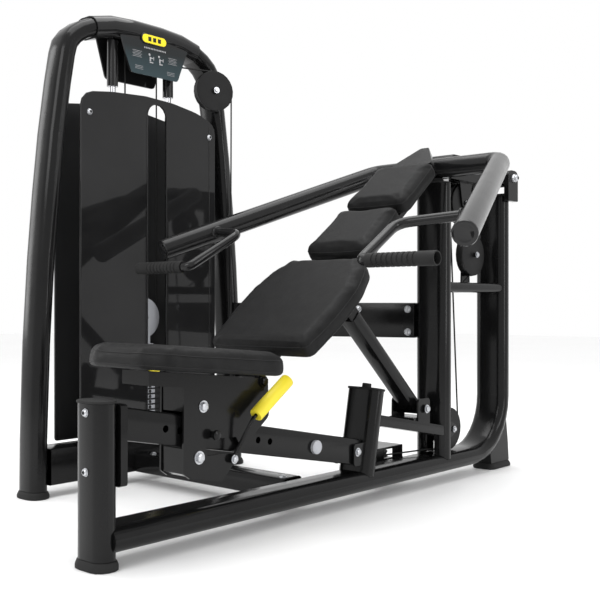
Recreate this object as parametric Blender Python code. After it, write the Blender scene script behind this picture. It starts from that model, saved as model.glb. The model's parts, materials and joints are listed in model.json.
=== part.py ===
"""Chest press machine: plate stack tower, base spine, swinging press arm and a sliding, tilting bench.

Frame: +X to the user's left, +Y backward along the bench, +Z up.
The origin is on the floor under the front post, on the bench's centre plane. Metres.
"""
import bmesh
import bpy
from math import atan2, cos, pi, radians, sin
from mathutils import Matrix, Vector

# ---------------------------------------------------------------- driving dimensions
GAP = 0.0003                  # gap between touching pieces
OVAL_W = 0.125                # wide oval tube, across
OVAL_D = 0.060                # oval tube, depth
POST_W = 0.105                # front post and tower tube, across
WALL = 0.003                  # tube wall
ROUND_SIDES = 20
OVAL_STEPS = 7                # segments in each round end of an oval

SPINE_Z = 0.067               # height of the spine's centreline
SPINE_TOP = SPINE_Z + OVAL_D / 2
REAR_Y = 1.789                # rear upright, also the arm pivot
REAR_TOP = 0.997
REAR_BEND = 0.20
POST_TOP = 0.380              # front post
P1_Y = 1.395                  # middle upright
P1_TOP = 1.011

RAIL_TILT = radians(11.0)     # rail falls to the rear
RAIL_W = 0.060
RAIL_H = 0.078
RAIL_Y0 = 0.0488
RAIL_Z0 = 0.3295              # rail centreline height at RAIL_Y0
RAIL_LEN = 0.912
RAIL_POST_Y = 0.970           # post under the rail, where it meets the spine
RAIL_POST_W = 0.122
HOLE_PITCH = 0.046
HOLE_FIRST_Y = 0.181
HOLE_COUNT = 9
PIN_HOLE = 3                  # index of the hole that holds the seat at rest
HOLE_R = 0.009

BACK_TILT = radians(38.5)     # backrest from horizontal
FACE_Y = 0.516                # lower edge of the backrest's face
FACE_Z = 0.502
PAD_T = 0.055
HINGE = Vector((0, 0.500, 0.400))        # backrest on the carriage
STRUT_TOP = Vector((0, 0.870, 0.625))    # strut on the backrest
STRUT_FOOT = Vector((0, 1.262, 0.262))   # strut on the lower shelf

PIVOT = Vector((0, REAR_Y, 1.0616))      # press arm on the rear upright
ARM_R = 0.034
ARM_CORNER = Vector((0.250, 1.400, 1.063))
ARM_END = Vector((0.560, 0.680, 0.780))
HANDLE_R = 0.0145
HANDLE_BEND = Vector((0.300, 0.760, 0.822))
GRIP_Y = 0.570
GRIP_Z = 0.715
GRIP_IN = 0.345
GRIP_OUT = 0.550

TOWER_X = -0.790
TOWER_Y = 0.770
TOWER_FOOT = 0.427            # half the distance between the tower's feet
TOWER_TOP = 1.532             # centreline of the arch
SHROUD_FRONT_X = -0.725       # front face of the front shroud
SHROUD_REAR_X = -0.865
SHROUD_T = 0.008
SHROUD_Y0 = 0.474
SHROUD_Y1 = 1.061
SHROUD_Z0 = 0.1535
SLOT_Y0 = 0.7455
SLOT_Y1 = 0.8295
ROD_Y = (0.6485, 0.8915)      # guide rods
ROD_R = 0.011
STACK_X = -0.790
STACK_HALF = (0.048, 0.172)   # half sizes of a plate, X and Y
PLATE_T = 0.0178
STACK_Z0 = 0.1528             # top of the tower's base tube
STACK_PLATES = 17
LIFTED_PLATES = 5
CABLE_R = 0.0028
CABLE_LIFT = 0.0010           # gap between the cable and the groove
GROOVE_DEPTH = 0.005

TOP_WHEEL = (-0.716, 1.044, 1.3722)      # wheels that lead the cable, with their axes and radii
TOP_AXIS = (0.9487, -0.3162, 0)
TOP_WHEEL_R = 0.0725
LOW_WHEEL = (-0.638, 1.1122, 0.1833)
LOW_AXIS = (-0.0941, 0.9956, 0)
LOW_WHEEL_R = 0.0567
FLAT_WHEEL = (-0.130, 1.215, 0.103)
FLAT_WHEEL_R = 0.055
POST_WHEEL = (0, 1.4755, 0.172)
POST_WHEEL_R = 0.073
SHELF_WHEEL = (0, 1.629, 0.778)
SHELF_WHEEL_R = 0.075
ARM_WHEEL = (0, 1.563, 0.956)
ARM_WHEEL_R = 0.0715

# ---------------------------------------------------------------- materials


def material(name, colour, roughness, metallic=0.0):
    """A Principled material with one colour and finish."""
    made = bpy.data.materials.new(name)
    made.use_nodes = True
    shader = made.node_tree.nodes["Principled BSDF"]
    shader.inputs["Base Color"].default_value = (*colour, 1.0)
    shader.inputs["Roughness"].default_value = roughness
    shader.inputs["Metallic"].default_value = metallic
    return made


# ---------------------------------------------------------------- outlines


def circle(radius, sides=ROUND_SIDES):
    """A round outline, counter-clockwise."""
    return [(radius * cos(2 * pi * i / sides), radius * sin(2 * pi * i / sides)) for i in range(sides)]


def oval(width, depth, steps=OVAL_STEPS):
    """A flat-sided oval: width across, two round ends of the given depth."""
    radius = depth / 2
    straight = (width - depth) / 2
    points = []
    for end in (1, -1):
        for i in range(steps + 1):
            angle = -pi / 2 + pi * i / steps
            points.append((end * (straight + radius * cos(angle)), end * radius * sin(angle)))
    return points


def rounded(corners, radius, steps=3):
    """A closed outline with every corner rounded; radius may be a list, one value per corner."""
    count = len(corners)
    radii = radius if isinstance(radius, (list, tuple)) else [radius] * count
    points = []
    for i, corner in enumerate(corners):
        here = Vector(corner)
        before = (Vector(corners[i - 1]) - here)
        after = (Vector(corners[(i + 1) % count]) - here)
        points += [tuple(p) for p in fillet(here, before, after, radii[i], steps)]
    return points


def fillet(here, before, after, radius, steps):
    """Points on the arc that rounds the corner at here, between the edges to before and after."""
    if radius <= 0:
        return [here]
    unit_in = before.normalized()
    unit_out = after.normalized()
    half = unit_in.angle(unit_out) / 2
    reach = min(radius / max(1e-6, abs(sin(half) / cos(half))), before.length * 0.499, after.length * 0.499)
    true_radius = reach * sin(half) / cos(half)
    centre = here + (unit_in + unit_out).normalized() * (true_radius / sin(half))
    first = here + unit_in * reach - centre
    last = here + unit_out * reach - centre
    sweep_angle = first.angle(last)
    points = []
    for i in range(steps + 1):
        t = i / steps
        blend = first * sin((1 - t) * sweep_angle) + last * sin(t * sweep_angle)
        points.append(centre + blend / sin(sweep_angle))
    return points


def box_outline(width, height, corner=0.0, steps=2):
    """A rectangle about the origin with rounded corners."""
    w = width / 2
    h = height / 2
    return rounded([(w, -h), (w, h), (-w, h), (-w, -h)], corner, steps)


def route(points, radius, steps=5):
    """An open path in space with its inner corners rounded."""
    found = [Vector(points[0])]
    radii = radius if isinstance(radius, (list, tuple)) else [radius] * len(points)
    for i in range(1, len(points) - 1):
        here = Vector(points[i])
        found += fillet(here, Vector(points[i - 1]) - here, Vector(points[i + 1]) - here, radii[i], steps)
    found.append(Vector(points[-1]))
    return found


# ---------------------------------------------------------------- solids


def finish(name, mesh_data, look, origin=(0, 0, 0), smooth=40):
    """Turn a bmesh in world coordinates into an object whose origin is at the given place."""
    bmesh.ops.recalc_face_normals(mesh_data, faces=mesh_data.faces)
    bmesh.ops.translate(mesh_data, verts=mesh_data.verts, vec=-Vector(origin))
    mesh = bpy.data.meshes.new(name)
    mesh_data.to_mesh(mesh)
    mesh_data.free()
    mesh.shade_smooth()
    mesh.set_sharp_from_angle(angle=radians(smooth))
    made = bpy.data.objects.new(name, mesh)
    made.location = origin
    bpy.context.scene.collection.objects.link(made)
    if look is not None:
        mesh.materials.append(look)
    return made


def loft(rings, closed_ends=True):
    """Join rings of points into one skin; with closed_ends the first and last ring are filled."""
    skin = bmesh.new()
    made = [[skin.verts.new(p) for p in ring] for ring in rings]
    count = len(made[0])
    for low, high in zip(made, made[1:]):
        for i in range(count):
            j = (i + 1) % count
            skin.faces.new((low[i], low[j], high[j], high[i]))
    if closed_ends:
        skin.faces.new(list(reversed(made[0])))
        skin.faces.new(made[-1])
    return skin


def frames(path, side):
    """A side and an up direction at each point of a path, carried along without twist."""
    tangents = []
    for i in range(len(path)):
        ahead = path[min(i + 1, len(path) - 1)] - path[i]
        behind = path[i] - path[max(i - 1, 0)]
        tangents.append((ahead.normalized() + behind.normalized()).normalized())
    found = []
    across = Vector(side)
    for i, tangent in enumerate(tangents):
        if i:
            across = tangents[i - 1].rotation_difference(tangent) @ across
        across = (across - tangent * across.dot(tangent)).normalized()
        found.append((across, tangent.cross(across).normalized()))
    return found


def ring_at(point, frame, outline):
    """An outline placed at a point of a path."""
    return [point + frame[0] * a + frame[1] * b for a, b in outline]


def bar(name, path, outline, look, side=(1, 0, 0), bore=None, origin=(0, 0, 0), level=None):
    """A section swept along a path. A bore outline makes it a tube open at both ends.

    level gives heights that the first and last ring are cut off at, or None.
    """
    path = [Vector(p) for p in path]
    placed = frames(path, side)
    outer = [ring_at(p, f, outline) for p, f in zip(path, placed)]
    rings = outer
    if bore is not None:
        inner = [ring_at(p, f, bore) for p, f in zip(path, placed)]
        rings = outer + inner[::-1]
    if level:
        cut_level(rings, path, level, bore is not None)
    if bore is None:
        return finish(name, loft(rings), look, origin)
    return finish(name, loft(rings + [rings[0]], closed_ends=False), look, origin)


def cut_level(rings, path, level, hollow):
    """Slide the end rings along the path's ends so that they lie at the given heights."""
    first = (path[1] - path[0]).normalized()
    last = (path[-1] - path[-2]).normalized()
    ends = [(0, first, level[0]), (len(path) - 1, last, level[1])]
    if hollow:
        ends += [(len(rings) - 1, first, level[0]), (len(path), last, level[1])]
    for index, along, height in ends:
        if height is not None:
            rings[index][:] = [p + along * ((height - p.z) / along.z) for p in rings[index]]


def plate(name, outline, axis, low, high, look, origin=(0, 0, 0)):
    """An outline in the plane across an axis, extruded from low to high along it."""
    places = {
        "X": lambda a, b, t: Vector((t, a, b)),
        "Y": lambda a, b, t: Vector((a, t, b)),
        "Z": lambda a, b, t: Vector((a, b, t)),
    }
    place = places[axis]
    return finish(name, loft([[place(a, b, t) for a, b in outline] for t in (low, high)]), look, origin)


def turned(name, profile, centre, axis, look, sides=ROUND_SIDES, origin=None):
    """A turned piece: (radius, distance along the axis) points from end to end; radius 0 closes an end."""
    spin = Vector((0, 0, 1)).rotation_difference(Vector(axis)).to_matrix()
    skin = bmesh.new()
    rings = []
    for radius, along in profile:
        if radius <= 0:
            rings.append([skin.verts.new(spin @ Vector((0, 0, along)) + Vector(centre))])
        else:
            points = [spin @ Vector((a, b, along)) + Vector(centre) for a, b in circle(radius, sides)]
            rings.append([skin.verts.new(p) for p in points])
    joints = list(zip(rings, rings[1:]))
    if profile[0][0] > 0:
        joints.append((rings[-1], rings[0]))
    for low, high in joints:
        for i in range(sides):
            j = (i + 1) % sides
            corners = [low[i % len(low)], low[j % len(low)], high[j % len(high)], high[i % len(high)]]
            skin.faces.new(list(dict.fromkeys(corners)))
    return finish(name, skin, look, centre if origin is None else origin)


def rod(name, radius, low, high, centre, axis, look, sides=12):
    """A plain round bar."""
    profile = [(0, low), (radius, low), (radius, high), (0, high)]
    return turned(name, profile, centre, axis, look, sides)


def helper(made):
    """Keep a shape as a hidden tool of a Boolean."""
    made.hide_render = True
    made.display_type = "WIRE"
    return made


def combine(target, tool, operation):
    """Weld a tool onto a piece, or cut it out."""
    change = target.modifiers.new(operation.lower(), "BOOLEAN")
    change.operation = operation
    change.solver = "EXACT"
    change.object = helper(tool)
    return target


def weld(target, tool):
    """Join a tool to a piece."""
    return combine(target, tool, "UNION")


def cut(target, tool):
    """Cut a tool out of a piece."""
    return combine(target, tool, "DIFFERENCE")


# ---------------------------------------------------------------- places that follow from the dimensions


def rail_point(y, above=0.0, x=0.0):
    """A point on the rail's centreline at a given Y, moved square to the rail."""
    z = RAIL_Z0 - (y - RAIL_Y0) * sin(RAIL_TILT) / cos(RAIL_TILT)
    return Vector((x, y + above * sin(RAIL_TILT), z + above * cos(RAIL_TILT)))


def rail_post_point(along):
    """A point on the centreline of the post that leans square to the rail, along from the spine's top."""
    return Vector((0, RAIL_POST_Y + along * sin(RAIL_TILT), SPINE_TOP + GAP + along * cos(RAIL_TILT)))


def back_point(along, depth=0.0, x=0.0):
    """A point of the backrest: distance up its face, and depth behind the face."""
    y = FACE_Y + along * cos(BACK_TILT) + depth * sin(BACK_TILT)
    z = FACE_Z + along * sin(BACK_TILT) - depth * cos(BACK_TILT)
    return Vector((x, y, z))


# ---------------------------------------------------------------- base frame


def stepped_plug(name, centre, steps, look, tilt=0.0, section=oval):
    """A solid of stacked rings: (width, depth, height) from the bottom up, leaning back by tilt."""
    turn = Matrix.Rotation(-tilt, 3, "X")
    rings = []
    for width, depth, height in steps:
        rings.append([Vector(centre) + turn @ Vector((a, b, height)) for a, b in section(width, depth)])
    return finish(name, loft(rings), look)


def padded_box(width, depth):
    """A rectangle with well rounded corners."""
    return box_outline(width, depth, 0.020, 3)


def cope(piece, tool_name, start, end, width):
    """Shape a piece's end to the oval tube it is welded to."""
    cut(piece, bar(tool_name, [start, end], oval(width + 2 * GAP, OVAL_D + 2 * GAP), None))


def rubber_foot(name, x, y, width, depth, look, section=oval):
    """A rubber foot with a flat underside on the floor and a lip round the tube's end."""
    steps = [(width + 0.014, depth + 0.014, 0), (width + 0.014, depth + 0.014, 0.010),
             (width + 0.004, depth + 0.004, 0.0217)]
    return stepped_plug(name, (x, y, 0), steps, look, 0.0, section)


def front_post(frame_paint, rubber):
    """Short oval post at the front of the machine with its foot and cap."""
    rubber_foot("front_foot", 0, 0, POST_W, OVAL_D, rubber)
    bore = oval(POST_W - 2 * WALL, OVAL_D - 2 * WALL)
    bar("front_post", [(0, 0, 0.022), (0, 0, POST_TOP)], oval(POST_W, OVAL_D), frame_paint, bore=bore)
    inner = POST_W - 2 * WALL - 2 * GAP
    inner_d = OVAL_D - 2 * WALL - 2 * GAP
    steps = [(inner, inner_d, POST_TOP - 0.02), (inner, inner_d, POST_TOP + GAP),
             (POST_W + 0.006, OVAL_D + 0.006, POST_TOP + GAP), (POST_W + 0.006, OVAL_D + 0.006, POST_TOP + 0.006)]
    stepped_plug("front_post_cap", (0, 0, 0), steps, rubber)


def spine(frame_paint, rubber):
    """Bent oval tube: along the floor, up into the rear upright, with its rear foot post welded on."""
    corners = [(0, 0.010, SPINE_Z), (0, REAR_Y, SPINE_Z), (0, REAR_Y, REAR_TOP)]
    bore = oval(OVAL_W - 2 * WALL, OVAL_D - 2 * WALL)
    tube = bar("spine_tube", route(corners, REAR_BEND, 8), oval(OVAL_W, OVAL_D), frame_paint, bore=bore)
    cope(tube, "spine_cope_tool", (0, 0, 0.01), (0, 0, 0.2), POST_W)
    outer = REAR_BEND + OVAL_D / 2 - 0.001
    outline = [(1.718, 0.022), (1.846, 0.022), (1.838, 0.10), (1.821, 0.21)]
    for degrees in (75, 60, 45, 32):
        angle = radians(degrees)
        outline.append((REAR_Y - REAR_BEND + outer * sin(angle), SPINE_Z + REAR_BEND - outer * cos(angle)))
    weld(tube, plate("rear_foot_post_tool", outline, "X", -0.035, 0.035, None))
    rubber_foot("rear_foot", 0, 1.782, 0.075, 0.132, rubber, padded_box)


def window(piece, tool_name, heights, depths, half=0.020):
    """Cut a rectangular window through one wall of an upright."""
    low, high = heights
    outline = [(-half, low), (half, low), (half, high), (-half, high)]
    cut(piece, plate(tool_name, outline, "Y", depths[0], depths[1], None))


def middle_upright(frame_paint, rubber):
    """Oval upright on the spine, with a window at its foot for the cable and the lower pulley."""
    bore = oval(OVAL_W - 2 * WALL, OVAL_D - 2 * WALL)
    post = bar("rear_post", [(0, P1_Y, 0.082), (0, P1_Y, P1_TOP)], oval(OVAL_W, OVAL_D), frame_paint, bore=bore)
    cope(post, "rear_post_cope_tool", (0, P1_Y - 0.1, SPINE_Z), (0, P1_Y + 0.1, SPINE_Z), OVAL_W)
    window(post, "rear_post_front_tool", (0.096, 0.160), (P1_Y - OVAL_D, P1_Y))
    window(post, "rear_post_rear_tool", (0.096, 0.262), (P1_Y, P1_Y + OVAL_D))
    face = P1_Y + OVAL_D / 2 - 0.0015
    for side in (1, -1):
        lug = rounded([(face, 0.128), (1.470, 0.150), (1.496, 0.160), (1.496, 0.184), (1.470, 0.196), (face, 0.216)],
                      [0, 0.010, 0.010, 0.010, 0.010, 0])
        span = sorted((0.0225 * side, 0.0280 * side))
        weld(post, plate(f"wheel_lug_tool_{side}", lug, "X", span[0], span[1], None))
    cut(post, rod("wheel_lug_bore_tool", 0.0088, -0.1, 0.1, POST_WHEEL, (1, 0, 0), None))
    inner = OVAL_W - 2 * WALL - 2 * GAP
    inner_d = OVAL_D - 2 * WALL - 2 * GAP
    steps = [(inner, inner_d, P1_TOP - 0.02), (inner, inner_d, P1_TOP + GAP), (OVAL_W, OVAL_D, P1_TOP + GAP),
             (OVAL_W, OVAL_D, P1_TOP + 0.004), (0.075, 0.046, P1_TOP + 0.006),
             (0.066, 0.038, ARM_CORNER.z - ARM_R - GAP)]
    stepped_plug("arm_stop", (0, P1_Y, 0), steps, rubber)


def pivot_bracket(frame_paint, steel):
    """U bracket welded on the rear upright, and the shaft that the press arm swings on."""
    base = box_outline_at(0, REAR_TOP + 0.004 + GAP, 0.170, 0.008)
    bracket = plate("pivot_bracket", base, "Y", REAR_Y - 0.034, REAR_Y + 0.034, frame_paint)
    front = REAR_Y - 0.035
    back = REAR_Y + 0.035
    cheek = rounded([(front, 0.978), (back, 0.978), (back, 1.090), (front, 1.090)], [0.005, 0.005, 0.022, 0.022])
    weld(bracket, plate("cheek_tool_left", cheek, "X", 0.0665, 0.0850, None))
    weld(bracket, plate("cheek_tool_right", cheek, "X", -0.0850, -0.0665, None))
    cut(bracket, rod("pivot_bore_tool", 0.0130, -0.1, 0.1, PIVOT, (1, 0, 0), None))
    profile = [(0, -0.096), (0.013, -0.096), (0.015, -0.093), (0.015, -0.0853), (0.0125, -0.0853),
               (0.0125, 0.0853), (0.015, 0.0853), (0.015, 0.093), (0.013, 0.096), (0, 0.096)]
    turned("pivot_shaft", profile, PIVOT, (1, 0, 0), steel)


def shelves(frame_paint):
    """Upper shelf between the uprights with the pulley's bracket; sloping lower shelf with the strut's lugs."""
    section = [(x, z + 0.6605) for x, z in box_outline(0.104, 0.035, 0.012, 3)]
    upper = plate("upper_shelf", section, "Y", P1_Y + 0.008, REAR_Y - 0.008, frame_paint)
    cope(upper, "upper_cope_tool_front", (0, P1_Y, 0.6), (0, P1_Y, 0.7), OVAL_W)
    cope(upper, "upper_cope_tool_rear", (0, REAR_Y, 0.6), (0, REAR_Y, 0.7), OVAL_W)
    slot = [(-0.016, 1.470), (0.016, 1.470), (0.016, 1.545), (-0.016, 1.545)]
    cut(upper, plate("upper_shelf_slot_tool", slot, "Z", 0.6, 0.7, None))
    lug = rounded([(1.600, 0.660), (1.658, 0.660), (1.650, 0.798), (1.608, 0.798)], [0, 0, 0.018, 0.018])
    weld(upper, plate("pulley_lug_tool", lug, "X", -0.024, -0.018, None))
    cut(upper, rod("pulley_lug_bore_tool", 0.0088, -0.1, 0.1, SHELF_WHEEL, (1, 0, 0), None))
    start = Vector((0, 1.0120, 0.2480))
    rear = P1_Y - 0.008
    end = Vector((0, rear, start.z - (rear - start.y) * 0.19))
    lower = bar("lower_shelf", [start, end], box_outline(0.108, 0.034, 0.003), frame_paint)
    cope(lower, "lower_cope_tool_front", rail_post_point(0.08), rail_post_point(0.22), RAIL_POST_W)
    cope(lower, "lower_cope_tool_rear", (0, P1_Y, 0.1), (0, P1_Y, 0.3), OVAL_W)
    block = [(1.205, 0.200), (1.290, 0.184), (1.290, 0.236), (1.205, 0.236)]
    weld(lower, plate("strut_block_tool", block, "X", -0.0485, 0.0485, None))
    for side in (1, -1):
        lug = rounded([(1.222, 0.192), (1.290, 0.184), (1.290, 0.296), (1.224, 0.296)], [0, 0, 0.012, 0.012])
        inner = 0.0475
        span = (inner, inner + 0.006) if side > 0 else (-inner - 0.006, -inner)
        weld(lower, plate(f"strut_lug_tool_{side}", lug, "X", span[0], span[1], None))
    cut(lower, rod("strut_lug_bore_tool", 0.0083, -0.1, 0.1, STRUT_FOOT, (1, 0, 0), None))


def rail_post(frame_paint, rubber):
    """Short post that leans square to the rail, with the lugs that hold the rail's rear end."""
    top = rail_post_point(0.245)
    bore = oval(RAIL_POST_W - 2 * WALL, OVAL_D - 2 * WALL)
    post = bar("rail_post", [rail_post_point(-0.02), top], oval(RAIL_POST_W, OVAL_D), frame_paint, bore=bore,
               level=(0.082, None))
    cope(post, "rail_post_cope_tool", (0, 0.85, SPINE_Z), (0, 1.1, SPINE_Z), OVAL_W)
    for side in (1, -1):
        a = 0.0335 * side
        b = 0.0400 * side
        lug = rounded([(0.905, 0.118), (0.960, 0.118), (0.965, 0.185), (0.905, 0.185)], [0.010, 0, 0, 0.010])
        weld(post, plate(f"rail_lug_tool_{side}", lug, "X", min(a, b), max(a, b), None))
    cut(post, rod("rail_lug_bore_tool", 0.0063, -0.1, 0.1, (0, 0.922, 0.160), (1, 0, 0), None))
    inner = RAIL_POST_W - 2 * WALL - 2 * GAP
    inner_d = OVAL_D - 2 * WALL - 2 * GAP
    steps = [(inner, inner_d, -0.02), (inner, inner_d, GAP), (0.129, 0.067, GAP), (0.129, 0.067, 0.006),
             (0.030, 0.029, 0.007), (0.028, 0.027, 0.020)]
    stepped_plug("rail_post_cap", top, steps, rubber, RAIL_TILT)


def seat_rail(frame_paint, grey):
    """Sloping rail with its row of stop holes, welded to the plate on the front post, and its end stop."""
    start = rail_point(RAIL_Y0)
    end = rail_point(RAIL_Y0 + RAIL_LEN * cos(RAIL_TILT))
    corner = 0.006
    bore = box_outline(RAIL_W - 2 * WALL, RAIL_H - 2 * WALL, corner - WALL)
    rail = bar("seat_rail", [start, end], box_outline(RAIL_W, RAIL_H, corner), frame_paint, bore=bore)
    mount = rounded([(-0.050, 0.186), (0.050, 0.186), (0.050, 0.376), (-0.050, 0.376)], 0.008, 2)
    weld(rail, plate("rail_mount_tool", mount, "Y", OVAL_D / 2 + GAP, 0.050, None))
    for i in range(HOLE_COUNT):
        spot = rail_point(HOLE_FIRST_Y + i * HOLE_PITCH)
        cut(rail, rod(f"stop_hole_tool_{i}", HOLE_R, 0.020, 0.040, spot, (1, 0, 0), None, 10))
    spot = rail_point(0.736)
    cut(rail, rod("bumper_hole_tool", 0.0085, 0.020, 0.040, spot, (1, 0, 0), None, 10))
    profile = [(0, 0.020), (0.008, 0.020), (0.008, 0.0303), (0.020, 0.0303), (0.020, 0.040), (0.016, 0.043),
               (0, 0.043)]
    turned("rail_bumper", profile, spot, (1, 0, 0), grey)


def cross_members(frame_paint):
    """Tube on the floor and beam at mid height that tie the tower to the spine and the middle upright."""
    y = 0.7425
    path = [(-OVAL_W / 2 - GAP, y, SPINE_Z), (TOWER_X + POST_W / 2 + GAP, y, SPINE_Z)]
    bore = box_outline(0.080 - 2 * WALL, OVAL_D - 2 * WALL, 0.003)
    bar("floor_cross_tube", path, box_outline(0.080, OVAL_D, 0.008), frame_paint, side=(0, 1, 0), bore=bore)
    path = [(-OVAL_W / 2 - 0.002, 1.380, 0.547), (TOWER_X + POST_W / 2 + 0.006, 1.176, 0.547)]
    bore = box_outline(0.120 - 2 * WALL, 0.040 - 2 * WALL, 0.002)
    bar("upper_cross_beam", path, box_outline(0.120, 0.040, 0.006), frame_paint, side=(0, 0, 1), bore=bore)


# ---------------------------------------------------------------- tower


def arch_route(sign, top_end):
    """One half of the tower's tube: up from its foot, bowed inward, and over to the middle."""
    half_widths = [(TOWER_FOOT, 0.022), (0.426, 0.18), (0.416, 0.48), (0.400, 0.74), (0.382, 0.95), (0.362, 1.14),
                   (0.338, 1.311), (0.322, 1.405), (0.312, 1.440), (0.292, 1.466), (0.262, 1.489),
                   (0.223, 1.508), (0.150, 1.526), (0.060, TOWER_TOP)]
    points = [Vector((TOWER_X, TOWER_Y + sign * half, z)) for half, z in half_widths]
    points.append(Vector((TOWER_X, TOWER_Y + sign * top_end, TOWER_TOP)))
    return points


def cover_route():
    """Centreline of the arch inside its cover, from front to rear."""
    front = [p for p in arch_route(-1, 0.0) if p.z > 1.50]
    back = [p for p in arch_route(1, 0.0) if p.z > 1.50][:-1]
    return front + back[::-1]


def tower_frame(frame_paint, rubber, plastic):
    """Arched tower tube in two halves, its base tube, feet and the moulded cover over the top joint."""
    bore = oval(POST_W - 2 * WALL, OVAL_D - 2 * WALL)
    for name, sign in (("tower_upright_front", -1), ("tower_upright_rear", 1)):
        bar(name, arch_route(sign, GAP), oval(POST_W, OVAL_D), frame_paint, bore=bore, level=(0.022, None))
    for name, sign in (("tower_foot_front", -1), ("tower_foot_rear", 1)):
        rubber_foot(name, TOWER_X, TOWER_Y + sign * TOWER_FOOT, POST_W, 0.062, rubber)
    reach = TOWER_FOOT - OVAL_D / 2 - 0.0015
    path = [(TOWER_X, TOWER_Y - reach, 0.095), (TOWER_X, TOWER_Y + reach, 0.095)]
    bore = box_outline(POST_W - 2 * WALL, 0.115 - 2 * WALL, 0.003)
    bar("tower_base_tube", path, box_outline(POST_W, 0.115, 0.008), frame_paint, bore=bore)
    rear = bpy.data.objects["tower_upright_rear"]
    tab = rounded([(1.032, 1.345), (1.100, 1.340), (1.100, 1.402), (1.032, 1.398)], [0.012, 0, 0, 0.012])
    weld(rear, plate("top_wheel_tab_tool", tab, "X", -0.7455, -0.7395, None))
    cut(rear, rod("top_wheel_bore_tool", 0.0088, -0.04, 0, TOP_WHEEL, TOP_AXIS, None))
    base = bpy.data.objects["tower_base_tube"]
    tab = rounded([(-0.752, 0.090), (-0.690, 0.100), (-0.618, 0.165), (-0.618, 0.203), (-0.655, 0.206),
                   (-0.752, 0.150)], [0, 0.01, 0.02, 0.015, 0.02, 0])
    weld(base, plate("low_wheel_tab_tool", tab, "Y", 1.1305, 1.1365, None))
    cut(base, rod("low_wheel_bore_tool", 0.0088, 0, 0.04, LOW_WHEEL, LOW_AXIS, None))
    inner = oval(POST_W + 0.002, OVAL_D + 0.002)
    cover = bar("tower_top_cover", cover_route(), oval(POST_W + 0.010, OVAL_D + 0.012), plastic, bore=inner)
    skirts = (("front", TOWER_X + 0.046, 0.682, 0.894, 1.385), ("rear", TOWER_X - 0.052, 0.655, 0.868, 1.368))
    for name, x, corner, end, low in skirts:
        hang = rounded([(corner - 0.038, 1.500), (corner, low), (end, low), (end + 0.038, 1.500), (0.856, 1.509),
                        (0.770, 1.5105), (0.720, 1.509)], [0, 0.016, 0.016, 0, 0, 0, 0])
        weld(cover, plate(f"cover_skirt_{name}_tool", hang, "X", x, x + 0.006, None))


def shroud(name, outer_x, inner_x, look, drop=0.0):
    """Moulded cover of the plate stack: arched top, lowered by drop, with rounded corners."""
    arch = [(SHROUD_Y1, 1.249), (0.975, 1.284), (0.860, 1.302), (0.740, 1.308), (0.600, 1.300), (SHROUD_Y0, 1.283)]
    outline = [(SHROUD_Y0, SHROUD_Z0), (SHROUD_Y1, SHROUD_Z0)] + [(y, z - drop) for y, z in arch]
    outline = rounded(outline, [0.010, 0.010, 0.045, 0.2, 0.2, 0.2, 0.2, 0.055], 3)
    return plate(name, outline, "X", inner_x, outer_x, look)


def shrouds(plastic):
    """Front shroud with its slot, and the plain rear shroud."""
    front = shroud("shroud_front", SHROUD_FRONT_X, SHROUD_FRONT_X - SHROUD_T, plastic)
    middle = (SLOT_Y0 + SLOT_Y1) / 2
    half = (SLOT_Y1 - SLOT_Y0) / 2
    slot = rounded([(middle - half, 0.190), (middle + half, 0.190), (middle + half, 1.285), (middle - half, 1.285)],
                   [0.01, 0.01, half * 0.98, half * 0.98], 4)
    cut(front, plate("selector_slot_tool", slot, "X", -0.8, -0.7, None))
    shroud("shroud_rear", SHROUD_REAR_X, SHROUD_REAR_X - SHROUD_T, plastic, 0.020)


def sign_plate(teal):
    """Instruction plate on the cover's front skirt."""
    x = TOWER_X + 0.046 + 0.006 + GAP
    outline = rounded([(0.640, 1.497), (0.686, 1.382), (0.890, 1.382), (0.936, 1.497)], [0, 0.014, 0.014, 0])
    plate("sign_plate", outline, "X", x, x + 0.002, teal)


# ---------------------------------------------------------------- plate stack


def stack_block(name, bottom, plates, look):
    """A pile of steel plates with a groove at each joint, bored for the guide rods and the selector stem."""
    half_x, half_y = STACK_HALF
    groove = 0.002
    right = []
    for i in range(plates):
        low = bottom + i * PLATE_T
        high = bottom + (i + 1) * PLATE_T
        right += [(half_x - groove, low), (half_x, low + groove), (half_x, high - groove), (half_x - groove, high)]
    right = list(dict.fromkeys(right))
    left = [(-x, z) for x, z in reversed(right)]
    outline = [(STACK_X + x, z) for x, z in right + left]
    block = plate(name, outline, "Y", TOWER_Y - half_y, TOWER_Y + half_y, look)
    for i, y in enumerate(ROD_Y):
        spot = (STACK_X, y, bottom)
        cut(block, rod(f"{name}_rod_tool_{i}", ROD_R + 0.002, -0.1, 0.6, spot, (0, 0, 1), None))
    return block


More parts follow.
